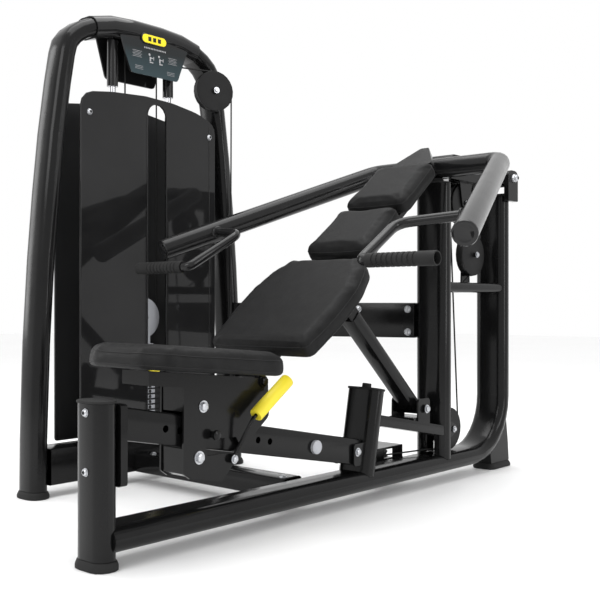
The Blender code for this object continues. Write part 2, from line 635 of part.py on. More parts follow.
def plate_stack(steel_dark, chrome, grey, pin_colour):
    """Resting plates, lifted plates with the stem and head, the pin and the guide rods; gives the wheel's height."""
    resting = STACK_PLATES - LIFTED_PLATES
    split = STACK_Z0 + resting * PLATE_T
    top = STACK_Z0 + STACK_PLATES * PLATE_T
    block = stack_block("resting_plates", STACK_Z0, resting, steel_dark)
    stem_r = 0.010
    stem_spot = (STACK_X, TOWER_Y, 0)
    cut(block, rod("stem_bore_tool", stem_r + 0.002, 0, 1, stem_spot, (0, 0, 1), None))
    lifted = stack_block("lifted_plates", split + GAP, LIFTED_PLATES, steel_dark)
    weld(lifted, rod("stem_tool", stem_r, STACK_Z0 + 0.01, split + 0.02, stem_spot, (0, 0, 1), None))
    pin_z = split + 0.5 * PLATE_T
    pin_spot = (STACK_X, TOWER_Y, pin_z)
    cut(lifted, rod("pin_bore_tool", 0.0048, 0.015, 0.06, pin_spot, (1, 0, 0), None, 10))
    profile = [(0, 0.018), (0.0042, 0.018), (0.0042, 0.052), (0.011, 0.052), (0.013, 0.056), (0.013, 0.084),
               (0.010, 0.088), (0, 0.088)]
    turned("selector_pin", profile, pin_spot, (1, 0, 0), pin_colour, 12)
    for name, y in (("guide_rod_front", ROD_Y[0]), ("guide_rod_rear", ROD_Y[1])):
        low = 0.1528
        high = 1.4885
        profile = [(0, low), (ROD_R, low), (ROD_R, 1.334), (0.018, 1.334), (0.018, high), (0, high)]
        turned(name, profile, (STACK_X, y, 0), (0, 0, 1), chrome)
    head = plate("stack_head", box_outline_at(TOWER_Y, top + 0.006, 0.060, 0.011), "X", STACK_X - 0.030,
                 STACK_X + 0.030, grey)
    for side in (1, -1):
        a = STACK_X + 0.0205 * side
        b = STACK_X + 0.0265 * side
        cheek = rounded([(TOWER_Y - 0.020, top + 0.004), (TOWER_Y + 0.020, top + 0.004),
                         (TOWER_Y + 0.016, top + 0.118), (TOWER_Y - 0.016, top + 0.118)], [0, 0, 0.014, 0.014])
        weld(head, plate(f"head_cheek_tool_{side}", cheek, "X", min(a, b), max(a, b), None))
    wheel_z = top + 0.100
    cut(head, rod("head_bore_tool", 0.0093, -0.1, 0.1, (STACK_X, TOWER_Y, wheel_z), (1, 0, 0), None))
    return wheel_z


def box_outline_at(a, b, width, height):
    """A plain rectangle about a point."""
    return [(a - width / 2, b - height / 2), (a + width / 2, b - height / 2), (a + width / 2, b + height / 2),
            (a - width / 2, b + height / 2)]


# ---------------------------------------------------------------- pulleys and cables


def pulley(name, centre, axis, radius, look, half=0.013, stub=0.0, sides=24):
    """A grooved cable wheel turned in one piece with its axle pin; stub is the pin's half length."""
    rim = half * 0.85
    profile = [(0, -stub), (0.008, -stub), (0.008, -half), (radius - 0.012, -half), (radius, -rim),
               (radius - 0.005, 0), (radius, rim), (radius - 0.012, half), (0.008, half), (0.008, stub), (0, stub)]
    return turned(name, profile, centre, axis, look, sides)


def pulleys(grey, black, wheel_z):
    """Every cable wheel."""
    pulley("head_pulley", (STACK_X, TOWER_Y, wheel_z), (1, 0, 0), 0.070, grey, 0.018, 0.028)
    pulley("top_pulley", TOP_WHEEL, TOP_AXIS, TOP_WHEEL_R, black, 0.016, 0.027)
    pulley("tower_floor_pulley", LOW_WHEEL, LOW_AXIS, LOW_WHEEL_R, black, 0.012, 0.026)
    pulley("floor_pulley", FLAT_WHEEL, (0, 0, 1), FLAT_WHEEL_R, black, 0.011, 0.0265)
    pulley("lower_pulley", POST_WHEEL, (1, 0, 0), POST_WHEEL_R, black, 0.013, 0.030)
    pulley("shelf_pulley", SHELF_WHEEL, (1, 0, 0), SHELF_WHEEL_R, black, 0.016, 0.028)
    pulley("arm_pulley", ARM_WHEEL, (1, 0, 0), ARM_WHEEL_R, black, 0.016, 0.0265)


def floor_pulley_housing(frame_paint):
    """C-shaped housing welded to the spine's side, round the flat pulley near the floor."""
    low = FLAT_WHEEL[2] - 0.025
    high = FLAT_WHEEL[2] + 0.028
    skin = 0.006
    outer = -0.172
    web = -OVAL_W / 2 - GAP
    outline = [(web, 0.057), (web, high), (outer, high), (outer, high - skin), (web - skin, high - skin),
               (web - skin, low + skin), (outer, low + skin), (outer, low), (web - skin, low), (web - skin, 0.057)]
    housing = plate("floor_pulley_housing", outline, "Y", 1.150, 1.300, frame_paint)
    cut(housing, rod("housing_bore_tool", 0.0088, -0.1, 0.1, FLAT_WHEEL, (0, 0, 1), None))
    exit_slot = [(1.196, 0.094), (1.248, 0.094), (1.248, 0.1235), (1.196, 0.1235)]
    cut(housing, plate("housing_exit_tool", exit_slot, "X", web - 2 * skin, web + skin, None))


def cable(name, points, look):
    """A steel cable: a round bar through a list of points."""
    return bar(name, points, circle(CABLE_R, 8), look, side=(0.3, 0.9, 0.31))


def groove(wheel_radius):
    """Radius of the cable's centreline on a wheel."""
    return wheel_radius - GROOVE_DEPTH + CABLE_R + CABLE_LIFT


def wrap(centre, wheel_radius, across, start, end, steps=8):
    """Points round part of a wheel, from one angle to another; across is the wheel's level direction."""
    radius = groove(wheel_radius)
    up = Vector((0, 0, 1)) if abs(across.z) < 1 else Vector((0, 1, 0))
    points = []
    for i in range(steps + 1):
        angle = radians(start + (end - start) * i / steps)
        points.append(Vector(centre) + across * (radius * cos(angle)) + up * (radius * sin(angle)))
    return points


def cables(black, wheel_z):
    """The cable in four stretches: stack loop, run along tower and floor, riser, and the anchored loop."""
    back = Vector((0, 1, 0))
    high = 1.470
    loop = [Vector((STACK_X, TOWER_Y + groove(0.070), high))]
    loop += wrap((STACK_X, TOWER_Y, wheel_z), 0.070, back, 0, -180, 12)
    loop.append(Vector((STACK_X, TOWER_Y - groove(0.070), high)))
    cable("stack_cable", loop, black)
    outward = Vector((-TOP_AXIS[1], TOP_AXIS[0], 0))
    inward = Vector((LOW_AXIS[1], -LOW_AXIS[0], 0))
    run = wrap(TOP_WHEEL, TOP_WHEEL_R, outward, 90, 0, 6)
    run.insert(0, run[0] - outward * 0.139)
    run += wrap(LOW_WHEEL, LOW_WHEEL_R, inward, 180, 270, 6)
    radius = groove(FLAT_WHEEL_R)
    for degrees in (275.5, 290, 305, 320, 334.7):
        angle = radians(degrees)
        run.append(Vector(FLAT_WHEEL) + Vector((radius * cos(angle), radius * sin(angle), 0)))
    run.append(Vector((0, P1_Y - OVAL_D / 2, 0.113)))
    run += wrap(POST_WHEEL, POST_WHEEL_R, back, 263.4, 360, 8)
    cable("run_cable", run, black)
    lean = 3.9
    front = wrap(ARM_WHEEL, ARM_WHEEL_R, back, 180 - lean, 150, 1)
    foot = run[-1] + Vector((0, 0, 3 * GAP))
    cable("riser_cable", [foot, front[0] - Vector((0, 0, 3 * GAP))], black)
    rest = wrap(ARM_WHEEL, ARM_WHEEL_R, back, 180 - lean, 21, 11)
    rest[0] = rest[0] + (rest[1] - rest[0]).normalized() * 2 * GAP
    rest += wrap(SHELF_WHEEL, SHELF_WHEEL_R, back, 21, -95, 8)
    rest.append(Vector((0, 1.585, 0.6835)))
    cable("anchored_cable", rest, black)


# ---------------------------------------------------------------- press arm


def press_arm(gloss, frame_paint, rubber):
    """Bent tube of the press arm, its stem and hub, handles and grips."""
    corners = [Vector((-ARM_END.x, ARM_END.y, ARM_END.z)), Vector((-ARM_CORNER.x, ARM_CORNER.y, ARM_CORNER.z)),
               ARM_CORNER, ARM_END]
    path = route(corners, 0.050, 5)
    bore = circle(ARM_R - WALL)
    bar("press_arm", path, circle(ARM_R), gloss, side=(0, 0, 1), bore=bore, origin=PIVOT)
    for name, sign in (("left", 1), ("right", -1)):
        handle(name, sign, gloss, rubber)
    stem(frame_paint)


def handle(name, sign, gloss, rubber):
    """Thin bent tube off the inner side of the arm, and the ribbed grip on its outward leg."""
    end = Vector((sign * ARM_END.x, ARM_END.y, ARM_END.z))
    corner = Vector((sign * ARM_CORNER.x, ARM_CORNER.y, ARM_CORNER.z))
    inner = Vector((sign * HANDLE_BEND.x, HANDLE_BEND.y, HANDLE_BEND.z))
    along = (end - corner).normalized()
    meet = corner + along * (inner - corner).dot(along)
    root = meet + (inner - meet).normalized() * (ARM_R + 2 * GAP)
    elbow = Vector((sign * (GRIP_IN - 0.023), GRIP_Y, GRIP_Z))
    points = [root, inner, elbow, Vector((sign * (GRIP_OUT - 0.012), GRIP_Y, GRIP_Z))]
    path = route(points, [0, 0.045, 0.020, 0], 4)
    bar(f"handle_{name}", path, circle(HANDLE_R, 12), gloss, side=(0, 0, 1), origin=PIVOT)
    ribs = 9
    pitch = 0.0155
    outer = 0.0185
    bore = HANDLE_R * 1.04 + GAP
    profile = [(bore, 0), (outer, 0)]
    for i in range(ribs):
        z = 0.022 + i * pitch
        profile += [(outer, z), (outer - 0.002, z + 0.001), (outer - 0.002, z + 0.004), (outer, z + 0.005)]
    length = GRIP_OUT - GRIP_IN + 0.002
    profile += [(outer, length), (bore, length)]
    spot = Vector((sign * GRIP_IN, GRIP_Y, GRIP_Z))
    turned(f"grip_{name}", profile[::-1], spot, (sign, 0, 0), rubber, 12, origin=PIVOT)


def stem(frame_paint):
    """Box tube from the crossbar back to the hub, with the fork of the arm's pulley."""
    front = ARM_CORNER.y + ARM_R + GAP
    section = [(front, 1.031), (REAR_Y - 0.012, 1.031), (REAR_Y - 0.012, 1.100), (1.700, 1.115), (1.452, 1.115),
               (front, 1.098)]
    body = plate("press_stem", section, "X", -0.043, 0.043, frame_paint, PIVOT)
    weld(body, rod("hub_tool", 0.030, -0.0655, 0.0655, PIVOT, (1, 0, 0), None, 20))
    for side in (1, -1):
        fork = rounded([(1.520, 1.045), (1.606, 1.045), (1.583, 0.938), (1.543, 0.938)], [0, 0, 0.018, 0.018])
        a = 0.0185 * side
        b = 0.0240 * side
        weld(body, plate(f"fork_tool_{side}", fork, "X", min(a, b), max(a, b), None))
    cut(body, rod("hub_bore_tool", 0.0130, -0.1, 0.1, PIVOT, (1, 0, 0), None))
    cut(body, rod("fork_bore_tool", 0.0083, -0.1, 0.1, ARM_WHEEL, (1, 0, 0), None))


# ---------------------------------------------------------------- bench


def carriage(frame_paint):
    """Seat carriage: two side plates round the rail, a channel under the seat and cross plates."""
    channel = [(0.112, 0.4135), (0.505, 0.3735), (0.505, 0.4075), (0.112, 0.4475)]
    body = plate("seat_carriage", channel, "X", -0.050, 0.050, frame_paint)
    side_plate = rounded([(0.2265, 0.404), (0.224, 0.190), (0.245, 0.175), (0.355, 0.153), (0.444, 0.240),
                          (0.530, 0.305), (0.524, 0.415), (0.480, 0.419), (0.480, 0.378)],
                         [0, 0.006, 0.006, 0.012, 0.01, 0.02, 0.018, 0.018, 0], 2)
    for sign in (1, -1):
        a = 0.0390 * sign
        b = 0.0450 * sign
        weld(body, plate(f"side_plate_tool_{sign}", side_plate, "X", min(a, b), max(a, b), None))
    low = [tuple(rail_point(y, -RAIL_H / 2 - 0.0045)[1:]) for y in (0.2370, 0.300)]
    box = [low[0], (0.2290, 0.188), (0.247, 0.179), (0.300, 0.171), low[1]]
    weld(body, plate("front_box_tool", box, "X", -0.0405, 0.0405, None))
    shield = [(0.2290, 0.3415), (0.2350, 0.3415), (0.2350, 0.4060), (0.2290, 0.4060)]
    weld(body, plate("front_shield_tool", shield, "X", -0.0405, 0.0405, None))
    opening = [(0.300, 0.226), (0.405, 0.219), (0.418, 0.240), (0.405, 0.262), (0.300, 0.266)]
    cut(body, plate("window_tool", rounded(opening, 0.006, 2), "X", 0.038, 0.06, None))
    pin_spot = rail_point(HOLE_FIRST_Y + PIN_HOLE * HOLE_PITCH)
    cut(body, rod("pin_bore_tool_carriage", 0.0088, 0.03, 0.06, pin_spot, (1, 0, 0), None, 10))
    cut(body, rod("hinge_gap_tool", 0.030, -0.0300, 0.0300, HINGE, (1, 0, 0), None))
    cut(body, rod("hinge_bore_tool", 0.0088, -0.06, 0.06, HINGE, (1, 0, 0), None))
    return pin_spot


def pin_and_lever(pin_spot, look, yellow):
    """Stop pin of the carriage, drawn clear of the rail's holes, its lever and the lever's yellow grip."""
    profile = [(0, 0.0392), (0.0075, 0.0392), (0.0075, 0.0588), (0.0130, 0.0588), (0.0130, 0.0665),
               (0.010, 0.0690), (0, 0.0690)]
    turned("pop_pin", profile, pin_spot, (1, 0, 0), look, 12)
    hinge = Vector((0, 0.388, 0.2075))
    profile = [(0, 0.0453), (0.011, 0.0453), (0.011, 0.0560), (0, 0.0560)]
    path = [(0.0507, 0.388, 0.2075), (0.0560, 0.394, 0.226), (0.085, 0.4286, 0.3123), (0.090, 0.546, 0.3970)]
    lever = bar("adjust_lever", route(path, [0, 0.01, 0.02, 0], 3), circle(0.005, 8), look, origin=hinge)
    weld(lever, turned("lever_eye_tool", profile, hinge, (1, 0, 0), None, 12))
    start = Vector((0.0855, 0.4400, 0.3205))
    end = Vector((0.090, 0.546, 0.3970))
    along = (end - start).normalized()
    length = (end - start).length
    bore = 0.0053
    profile = [(bore, -0.003), (0.0125, -0.003), (0.0155, 0.002), (0.0155, length + 0.004), (0.0130, length + 0.009),
               (0, length + 0.009), (0, length + 0.0004), (bore, length + 0.0004)]
    grip_sleeve("lever_grip", profile, start, along, yellow, hinge)


def grip_sleeve(name, profile, spot, along, look, origin):
    """A sleeve with one closed end: the profile runs from the open rim, round the outside, into the bore."""
    spin = Vector((0, 0, 1)).rotation_difference(along).to_matrix()
    sides = 14
    skin = bmesh.new()
    rings = []
    for radius, height in profile:
        if radius > 0:
            points = [spin @ Vector((a, b, height)) + spot for a, b in circle(radius, sides)]
        else:
            points = [spin @ Vector((0, 0, height)) + spot]
        rings.append([skin.verts.new(p) for p in points])
    for low, high in zip(rings, rings[1:] + rings[:1]):
        if len(low) == 1 and len(high) == 1:
            continue
        for i in range(sides):
            j = (i + 1) % sides
            corners = [low[i % len(low)], low[j % len(low)], high[j % len(high)], high[i % len(high)]]
            skin.faces.new(list(dict.fromkeys(corners)))
    return finish(name, skin, look, origin)


def pad(name, outline, thickness, place, look, origin):
    """A plain upholstered pad: an outline with a slightly smaller face on each side."""
    trims = [(0.0, 0.90), (0.008, 1.0), (thickness - 0.014, 1.0), (thickness, 0.90)]
    centre = Vector((0, sum(b for _, b in outline) / len(outline)))
    rings = []
    for depth, scale in trims:
        ring = []
        for a, b in outline:
            inset = (Vector((a, b)) - centre)
            inset = inset * (1 - (1 - scale) * 0.1 / max(0.1, inset.length)) + centre
            ring.append(place(inset.x, inset.y, depth))
        rings.append(ring)
    return finish(name, loft(rings), look, origin, 60)


def seat_place(x, along, height):
    """A point of the seat: across, back from its nose, and up from its underside."""
    tilt = radians(5.0)
    y = 0.055 + along * cos(tilt) + height * sin(tilt)
    z = 0.4565 - along * sin(tilt) + height * cos(tilt)
    return Vector((x, y, z))


def back_place(depth_face):
    """Placement of a pad on the backrest: across, up its face, and out from its underside."""
    return lambda x, along, height: back_point(along, depth_face - height, x)


def mirrored(half):
    """A closed outline from its right half, listed from bottom to top."""
    return half + [(-x, y) for x, y in reversed(half)]


def bench_pads(leather):
    """Seat, lower back, middle back and head pad as plain closed solids."""
    seat = rounded(mirrored([(0.088, 0), (0.150, 0.028), (0.184, 0.190), (0.192, 0.393)]),
                   [0.02, 0.03, 0.05, 0.03, 0.03, 0.05, 0.03, 0.02], 2)
    pad("seat_pad", seat, 0.055, seat_place, leather, (0, 0, 0))
    lower = rounded(mirrored([(0.182, 0), (0.200, 0.13), (0.198, 0.25), (0.172, 0.34), (0.130, 0.392)]),
                    [0.02, 0.1, 0.08, 0.04, 0.02, 0.02, 0.04, 0.08, 0.1, 0.02], 2)
    pad("back_pad_lower", lower, PAD_T, back_place(PAD_T), leather, HINGE)
    middle = rounded(mirrored([(0.122, 0.4320), (0.112, 0.6500)]), 0.02, 2)
    pad("back_pad_middle", middle, PAD_T, back_place(PAD_T), leather, HINGE)
    head = rounded(mirrored([(0.118, 0.6740), (0.110, 0.9020)]), 0.02, 2)
    pad("head_pad", head, PAD_T, back_place(PAD_T), leather, HINGE)


def backrest(frame_paint):
    """Backrest frame: box tube under the pads, its end plate, lugs, the hinge tube and the strut's pin."""
    depth = PAD_T + GAP + 0.016
    path = [back_point(-0.070, depth), back_point(0.993, depth)]
    body = bar("backrest_frame", path, box_outline(0.050, 0.030, 0.005), frame_paint, origin=HINGE)
    weld(body, rod("hinge_tube_tool", 0.0150, -0.0290, 0.0290, HINGE, (1, 0, 0), None, 16))
    weld(body, rod("hinge_pin_tool", 0.0083, -0.0520, 0.0520, HINGE, (1, 0, 0), None, 12))
    top = rounded([(0.085, 0.925), (0.016, 1.034), (-0.016, 1.034), (-0.085, 0.925)], 0.010, 2)
    rings = [[back_point(along, deep, x) for x, along in top] for deep in (0.024, 0.060)]
    weld(body, finish("end_plate_tool", loft(rings), None))
    lug = [tuple(back_point(0.300, depth)[1:]), tuple(back_point(0.405, depth)[1:]),
           (STRUT_TOP.y + 0.016, STRUT_TOP.z - 0.006), (STRUT_TOP.y - 0.012, STRUT_TOP.z - 0.018)]
    weld(body, plate("strut_pin_lug_tool", lug, "X", -0.012, 0.012, None))
    weld(body, rod("strut_pin_tool", 0.0080, -0.0310, 0.0310, STRUT_TOP, (1, 0, 0), None, 12))
    carriers = ((0.080, 0.120, 0.006, 0.075), (0.260, 0.300, 0.006, 0.075), (0.425, 0.932, 0.016, 0.082))
    for low, high, thick, half in carriers:
        near = [back_point(low, PAD_T + GAP), back_point(high, PAD_T + GAP)]
        far = [back_point(high, PAD_T + thick), back_point(low, PAD_T + thick)]
        outline = [tuple(p[1:]) for p in near + far]
        weld(body, plate(f"pad_carrier_tool_{low}", outline, "X", -half, half, None))


def strut(frame_paint):
    """Strut from the lower shelf to the backrest: a box tube with a wide fork round the backrest's pin."""
    along = (STRUT_TOP - STRUT_FOOT).normalized()
    start = STRUT_FOOT + along * 0.004
    path = [start, STRUT_TOP - along * 0.085]
    body = bar("backrest_strut", path, box_outline(0.058, 0.045, 0.010), frame_paint, origin=STRUT_FOOT)
    weld(body, rod("strut_hub_tool", 0.0190, -0.0460, 0.0460, STRUT_FOOT, (1, 0, 0), None, 16))
    weld(body, rod("strut_shaft_tool", 0.0078, -0.0600, 0.0600, STRUT_FOOT, (1, 0, 0), None, 12))
    across = Vector((0, -along.z, along.y))
    base = STRUT_TOP - along * 0.100
    tip = STRUT_TOP + along * 0.026
    outline = [tuple((base + across * 0.020)[1:]), tuple((base - across * 0.020)[1:]),
               tuple((tip - across * 0.024)[1:]), tuple((tip + across * 0.024)[1:])]
    for sign in (1, -1):
        a = 0.0190 * sign
        b = 0.0250 * sign
        cheek = plate(f"fork_cheek_tool_{sign}", rounded(outline, [0, 0, 0.016, 0.016]), "X", min(a, b), max(a, b),
                      None)
        weld(body, cheek)
    cut(body, rod("fork_slot_tool", 0.0185, -0.06, 0.06, STRUT_TOP, (1, 0, 0), None, 16))


# ---------------------------------------------------------------- whole machine


def build():
    """Clear the scene and model every piece."""
    for old in list(bpy.data.objects):
        bpy.data.objects.remove(old, do_unlink=True)
    paint = material("black_powder_coat", (0.012, 0.012, 0.013), 0.38)
    gloss = material("gloss_black_tube", (0.015, 0.015, 0.017), 0.20)
    plastic = material("charcoal_plastic", (0.022, 0.022, 0.024), 0.30)
    rubber = material("black_rubber", (0.014, 0.014, 0.014), 0.75)
    leather = material("black_leather", (0.018, 0.018, 0.019), 0.55)
    steel = material("zinc_steel", (0.62, 0.62, 0.64), 0.32, 1.0)
    dark_steel = material("stack_plate", (0.05, 0.05, 0.052), 0.45, 0.3)
    chrome = material("chrome_rod", (0.75, 0.75, 0.77), 0.12, 1.0)
    grey = material("grey_nylon", (0.55, 0.56, 0.60), 0.45)
    yellow = material("yellow_grip", (0.86, 0.62, 0.02), 0.50)
    teal = material("teal_sign", (0.030, 0.070, 0.085), 0.40)
    front_post(paint, rubber)
    spine(paint, rubber)
    middle_upright(paint, rubber)
    pivot_bracket(paint, steel)
    shelves(paint)
    rail_post(paint, rubber)
    seat_rail(paint, grey)
    cross_members(paint)
    tower_frame(paint, rubber, plastic)
    shrouds(plastic)
    sign_plate(teal)
    wheel_z = plate_stack(dark_steel, chrome, grey, yellow)
    pulleys(grey, plastic, wheel_z)
    floor_pulley_housing(paint)
    cables(rubber, wheel_z)
    press_arm(gloss, paint, rubber)
    pin_spot = carriage(paint)
    pin_and_lever(pin_spot, paint, yellow)
    bench_pads(leather)
    backrest(paint)
    strut(paint)


build()
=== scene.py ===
"""Looks of the chest press machine: materials, upholstery, fasteners, labels, cables, light and camera."""
import json
from math import cos, pi, radians, sin

import bmesh
import bpy
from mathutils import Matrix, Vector


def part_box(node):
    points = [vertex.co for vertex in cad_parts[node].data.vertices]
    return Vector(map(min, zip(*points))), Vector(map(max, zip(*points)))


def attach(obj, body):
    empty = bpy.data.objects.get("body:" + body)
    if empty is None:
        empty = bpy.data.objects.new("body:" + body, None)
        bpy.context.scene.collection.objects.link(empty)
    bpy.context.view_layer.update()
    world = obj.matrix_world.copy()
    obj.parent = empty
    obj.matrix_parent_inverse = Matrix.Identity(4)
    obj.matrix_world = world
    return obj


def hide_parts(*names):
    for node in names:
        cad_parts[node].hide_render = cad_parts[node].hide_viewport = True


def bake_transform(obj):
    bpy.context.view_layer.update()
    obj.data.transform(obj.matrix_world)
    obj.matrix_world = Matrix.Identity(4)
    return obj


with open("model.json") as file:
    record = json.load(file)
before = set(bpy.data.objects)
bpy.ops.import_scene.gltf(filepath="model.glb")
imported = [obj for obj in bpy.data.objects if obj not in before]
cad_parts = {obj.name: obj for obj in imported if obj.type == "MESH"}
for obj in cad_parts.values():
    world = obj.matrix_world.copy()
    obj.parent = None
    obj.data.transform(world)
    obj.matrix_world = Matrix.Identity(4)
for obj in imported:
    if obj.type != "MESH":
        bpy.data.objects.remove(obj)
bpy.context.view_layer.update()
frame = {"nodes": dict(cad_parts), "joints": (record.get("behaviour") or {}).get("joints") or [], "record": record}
NODES = frame["nodes"]

# ---------------------------------------------------------------- driving dimensions
LEFT = (1, 0, 0)              # the user's left, the side that the photograph shows
SMALL = 0.0004                # lift of a thin piece off the surface it lies on
WELD_R = 0.0028               # thickness of a weld bead
SEAT_TILT = radians(5.0)      # seat from horizontal, falling to the rear
BACK_TILT = radians(38.5)     # backrest from horizontal
OVAL_W = 0.125                # spine's oval tube, across
OVAL_D = 0.060                # and its depth
SPINE_Z = 0.067               # height of the spine's centreline
CROSS_TUBE_Y = 0.7425         # floor tube between tower and spine
ARM_R = 0.034                 # press arm's tube
ARM_CORNER = Vector((0.250, 1.400, 1.063))
ARM_END = Vector((0.560, 0.680, 0.780))
HANDLE_R = 0.0145
HANDLE_BEND = Vector((0.300, 0.760, 0.822))
RAIL_BOLT = (0.922, 0.160)    # rear end of the rail on its post, Y and Z
STRUT_PIN = (0.870, 0.625)    # strut on the backrest, Y and Z
LEVER_GRIP = (Vector((0.0855, 0.4400, 0.3205)), Vector((0.090, 0.546, 0.3970)))
LEVER_GRIP_R = 0.0186
BEAM_START = Vector((-0.0645, 1.380, 0))  # beam to the tower, where it leaves the middle upright
BEAM_RUN = Vector((-0.667, -0.204, 0)).normalized()
BEAM_HALF = 0.020             # half the beam's thickness
SLOT_MIDDLE = 0.7875          # selector slot of the front shroud: its trim runs along its edge
SLOT_HALF = 0.042
SLOT_LOW = 0.20
SLOT_ARC_Z = 1.2440           # where the slot's round top begins
STACK_PLATES = 17
ROD_SLEEVE = (0.0181, 1.334, 1.4884)      # radius, lower and upper end of the guide rods' thick part

PIN_HEIGHT = 0.006            # part of a pad's height that stays on its board
PIN_FADE = 0.020              # height over which the cloth becomes free
SWELL_CAP = 0.0055            # furthest that the pressure may move a point
SWELL_PRESSURE = 4.0
SIM_FRAMES = 14
VOXEL = 0.0055
SEAM_HEIGHTS = (0.041, 0.008)             # a pad's two seams over its underside

EYE = (1.7837, -1.3189, 0.613)            # camera
EYE_TURN = 41.38
LENS = 56.7
EYE_SHIFT = 0.00175


# ---------------------------------------------------------------- materials


def new_material(name, colour, roughness, metallic=0.0, specular=0.5):
    """A Principled material with uniform values; returns it with its node tree and shader."""
    made = bpy.data.materials.new(name)
    made.use_nodes = True
    shader = made.node_tree.nodes["Principled BSDF"]
    shader.inputs["Base Color"].default_value = (*colour, 1.0)
    shader.inputs["Roughness"].default_value = roughness
    shader.inputs["Metallic"].default_value = metallic
    shader.inputs["Specular IOR Level"].default_value = specular
    return made, made.node_tree, shader


def placed(tree, stretch=(1, 1, 1)):
    """Object coordinates, stretched along each axis."""
    where = tree.nodes.new("ShaderNodeTexCoord")
    turn = tree.nodes.new("ShaderNodeMapping")
    turn.inputs["Scale"].default_value = stretch
    tree.links.new(where.outputs["Object"], turn.inputs["Vector"])
    return turn.outputs["Vector"]


def noise(tree, scale, detail=3.0, stretch=(1, 1, 1)):
    """Value of a noise texture; scale is in features per metre."""
    made = tree.nodes.new("ShaderNodeTexNoise")
    made.inputs["Scale"].default_value = scale
    made.inputs["Detail"].default_value = detail
    tree.links.new(placed(tree, stretch), made.inputs["Vector"])
    return made.outputs["Fac"]


def mapped(tree, value, low, high, source=(0.3, 0.7)):
    """A value moved from one range into another."""
    made = tree.nodes.new("ShaderNodeMapRange")
    made.inputs["From Min"].default_value = source[0]
    made.inputs["From Max"].default_value = source[1]
    made.inputs["To Min"].default_value = low
    made.inputs["To Max"].default_value = high
    tree.links.new(value, made.inputs["Value"])
    return made.outputs["Result"]


def ramp(tree, value, stops):
    """A value turned into a colour; stops are (place, colour)."""
    made = tree.nodes.new("ShaderNodeValToRGB")
    band = made.color_ramp
    while len(band.elements) < len(stops):
        band.elements.new(0.5)
    for element, (place, colour) in zip(band.elements, stops):
        element.position = place
        element.color = (*colour, 1.0)
    tree.links.new(value, made.inputs["Fac"])
    return made.outputs["Color"]


def bump(tree, shader, height, distance, strength=1.0, under=None):
    """A bump on the shader; under is the normal of a coarser bump."""
    made = tree.nodes.new("ShaderNodeBump")
    made.inputs["Distance"].default_value = distance
    made.inputs["Strength"].default_value = strength
    tree.links.new(height, made.inputs["Height"])
    if under is not None:
        tree.links.new(under, made.inputs["Normal"])
    tree.links.new(made.outputs["Normal"], shader.inputs["Normal"])
    return made.outputs["Normal"]


def coated(name, dark, light, roughness, peel, specular, grain=750.0):
    """Paint or plastic: slight colour drift, uneven gloss, and a wave and a fine grain of height peel."""
    made, tree, shader = new_material(name, dark, roughness[0], specular=specular)
    drift = noise(tree, 5.0, 5.0)
    tree.links.new(ramp(tree, drift, [(0.3, dark), (0.7, light)]), shader.inputs["Base Color"])
    smear = noise(tree, 22.0, 6.0)
    tree.links.new(mapped(tree, smear, *roughness), shader.inputs["Roughness"])
    wave = bump(tree, shader, noise(tree, 60.0, 1.0), peel * 2.0, 0.35)
    bump(tree, shader, noise(tree, grain, 2.0), peel, 0.5, wave)
    return made


def leather(name):
    """Fine-grained black vinyl: small pebbles, larger creases and speckled sheen."""
    made, tree, shader = new_material(name, (0.010, 0.010, 0.010), 0.5, specular=0.15)
    drift = noise(tree, 30.0, 6.0)
    colours = [(0.35, (0.0055, 0.0055, 0.0057)), (0.65, (0.0090, 0.0090, 0.0092))]
    tree.links.new(ramp(tree, drift, colours), shader.inputs["Base Color"])
    cell = tree.nodes.new("ShaderNodeTexVoronoi")
    cell.inputs["Scale"].default_value = 520.0
    tree.links.new(placed(tree), cell.inputs["Vector"])
    tree.links.new(mapped(tree, cell.outputs["Distance"], 0.40, 0.62, (0.1, 0.8)), shader.inputs["Roughness"])
    soft = bump(tree, shader, noise(tree, 45.0, 2.0), 0.0012, 0.25)
    pebble = bump(tree, shader, cell.outputs["Distance"], 0.00035, 0.8, soft)
    bump(tree, shader, noise(tree, 1500.0, 2.0), 0.0001, 0.5, pebble)
    return made


def metal(name, colour, roughness, stretch, scale=180.0):
    """Bare or plated metal with fine scratches along one direction."""
    made, tree, shader = new_material(name, colour, roughness[0], 1.0)
    scratch = noise(tree, scale, 4.0, stretch)
    tree.links.new(mapped(tree, scratch, *roughness), shader.inputs["Roughness"])
    bump(tree, shader, scratch, 0.00006, 0.5)
    return made


def rubber(name, colour):
    """Matte rubber with a dusty bloom."""
    made, tree, shader = new_material(name, colour, 0.7, specular=0.25)
    bloom = noise(tree, 14.0, 6.0)
    lighter = tuple(c * 1.9 + 0.002 for c in colour)
    tree.links.new(ramp(tree, bloom, [(0.35, colour), (0.75, lighter)]), shader.inputs["Base Color"])
    tree.links.new(mapped(tree, bloom, 0.58, 0.80), shader.inputs["Roughness"])
    bump(tree, shader, noise(tree, 600.0, 2.0), 0.0002, 0.5)
    return made


def sign_face(name, low, high):
    """Printed plate: near black at its top, teal lower down."""
    made, tree, shader = new_material(name, (0.02, 0.06, 0.08), 0.28, specular=0.35)
    where = tree.nodes.new("ShaderNodeTexCoord")
    split = tree.nodes.new("ShaderNodeSeparateXYZ")
    tree.links.new(where.outputs["Object"], split.inputs["Vector"])
    height = mapped(tree, split.outputs["Z"], 0.0, 1.0, (low, high))
    colours = [(0.0, (0.020, 0.040, 0.047)), (0.45, (0.011, 0.025, 0.030)), (0.8, (0.004, 0.006, 0.007))]
    tree.links.new(ramp(tree, height, colours), shader.inputs["Base Color"])
    bump(tree, shader, noise(tree, 900.0, 1.0), 0.00005, 0.4)
    return made


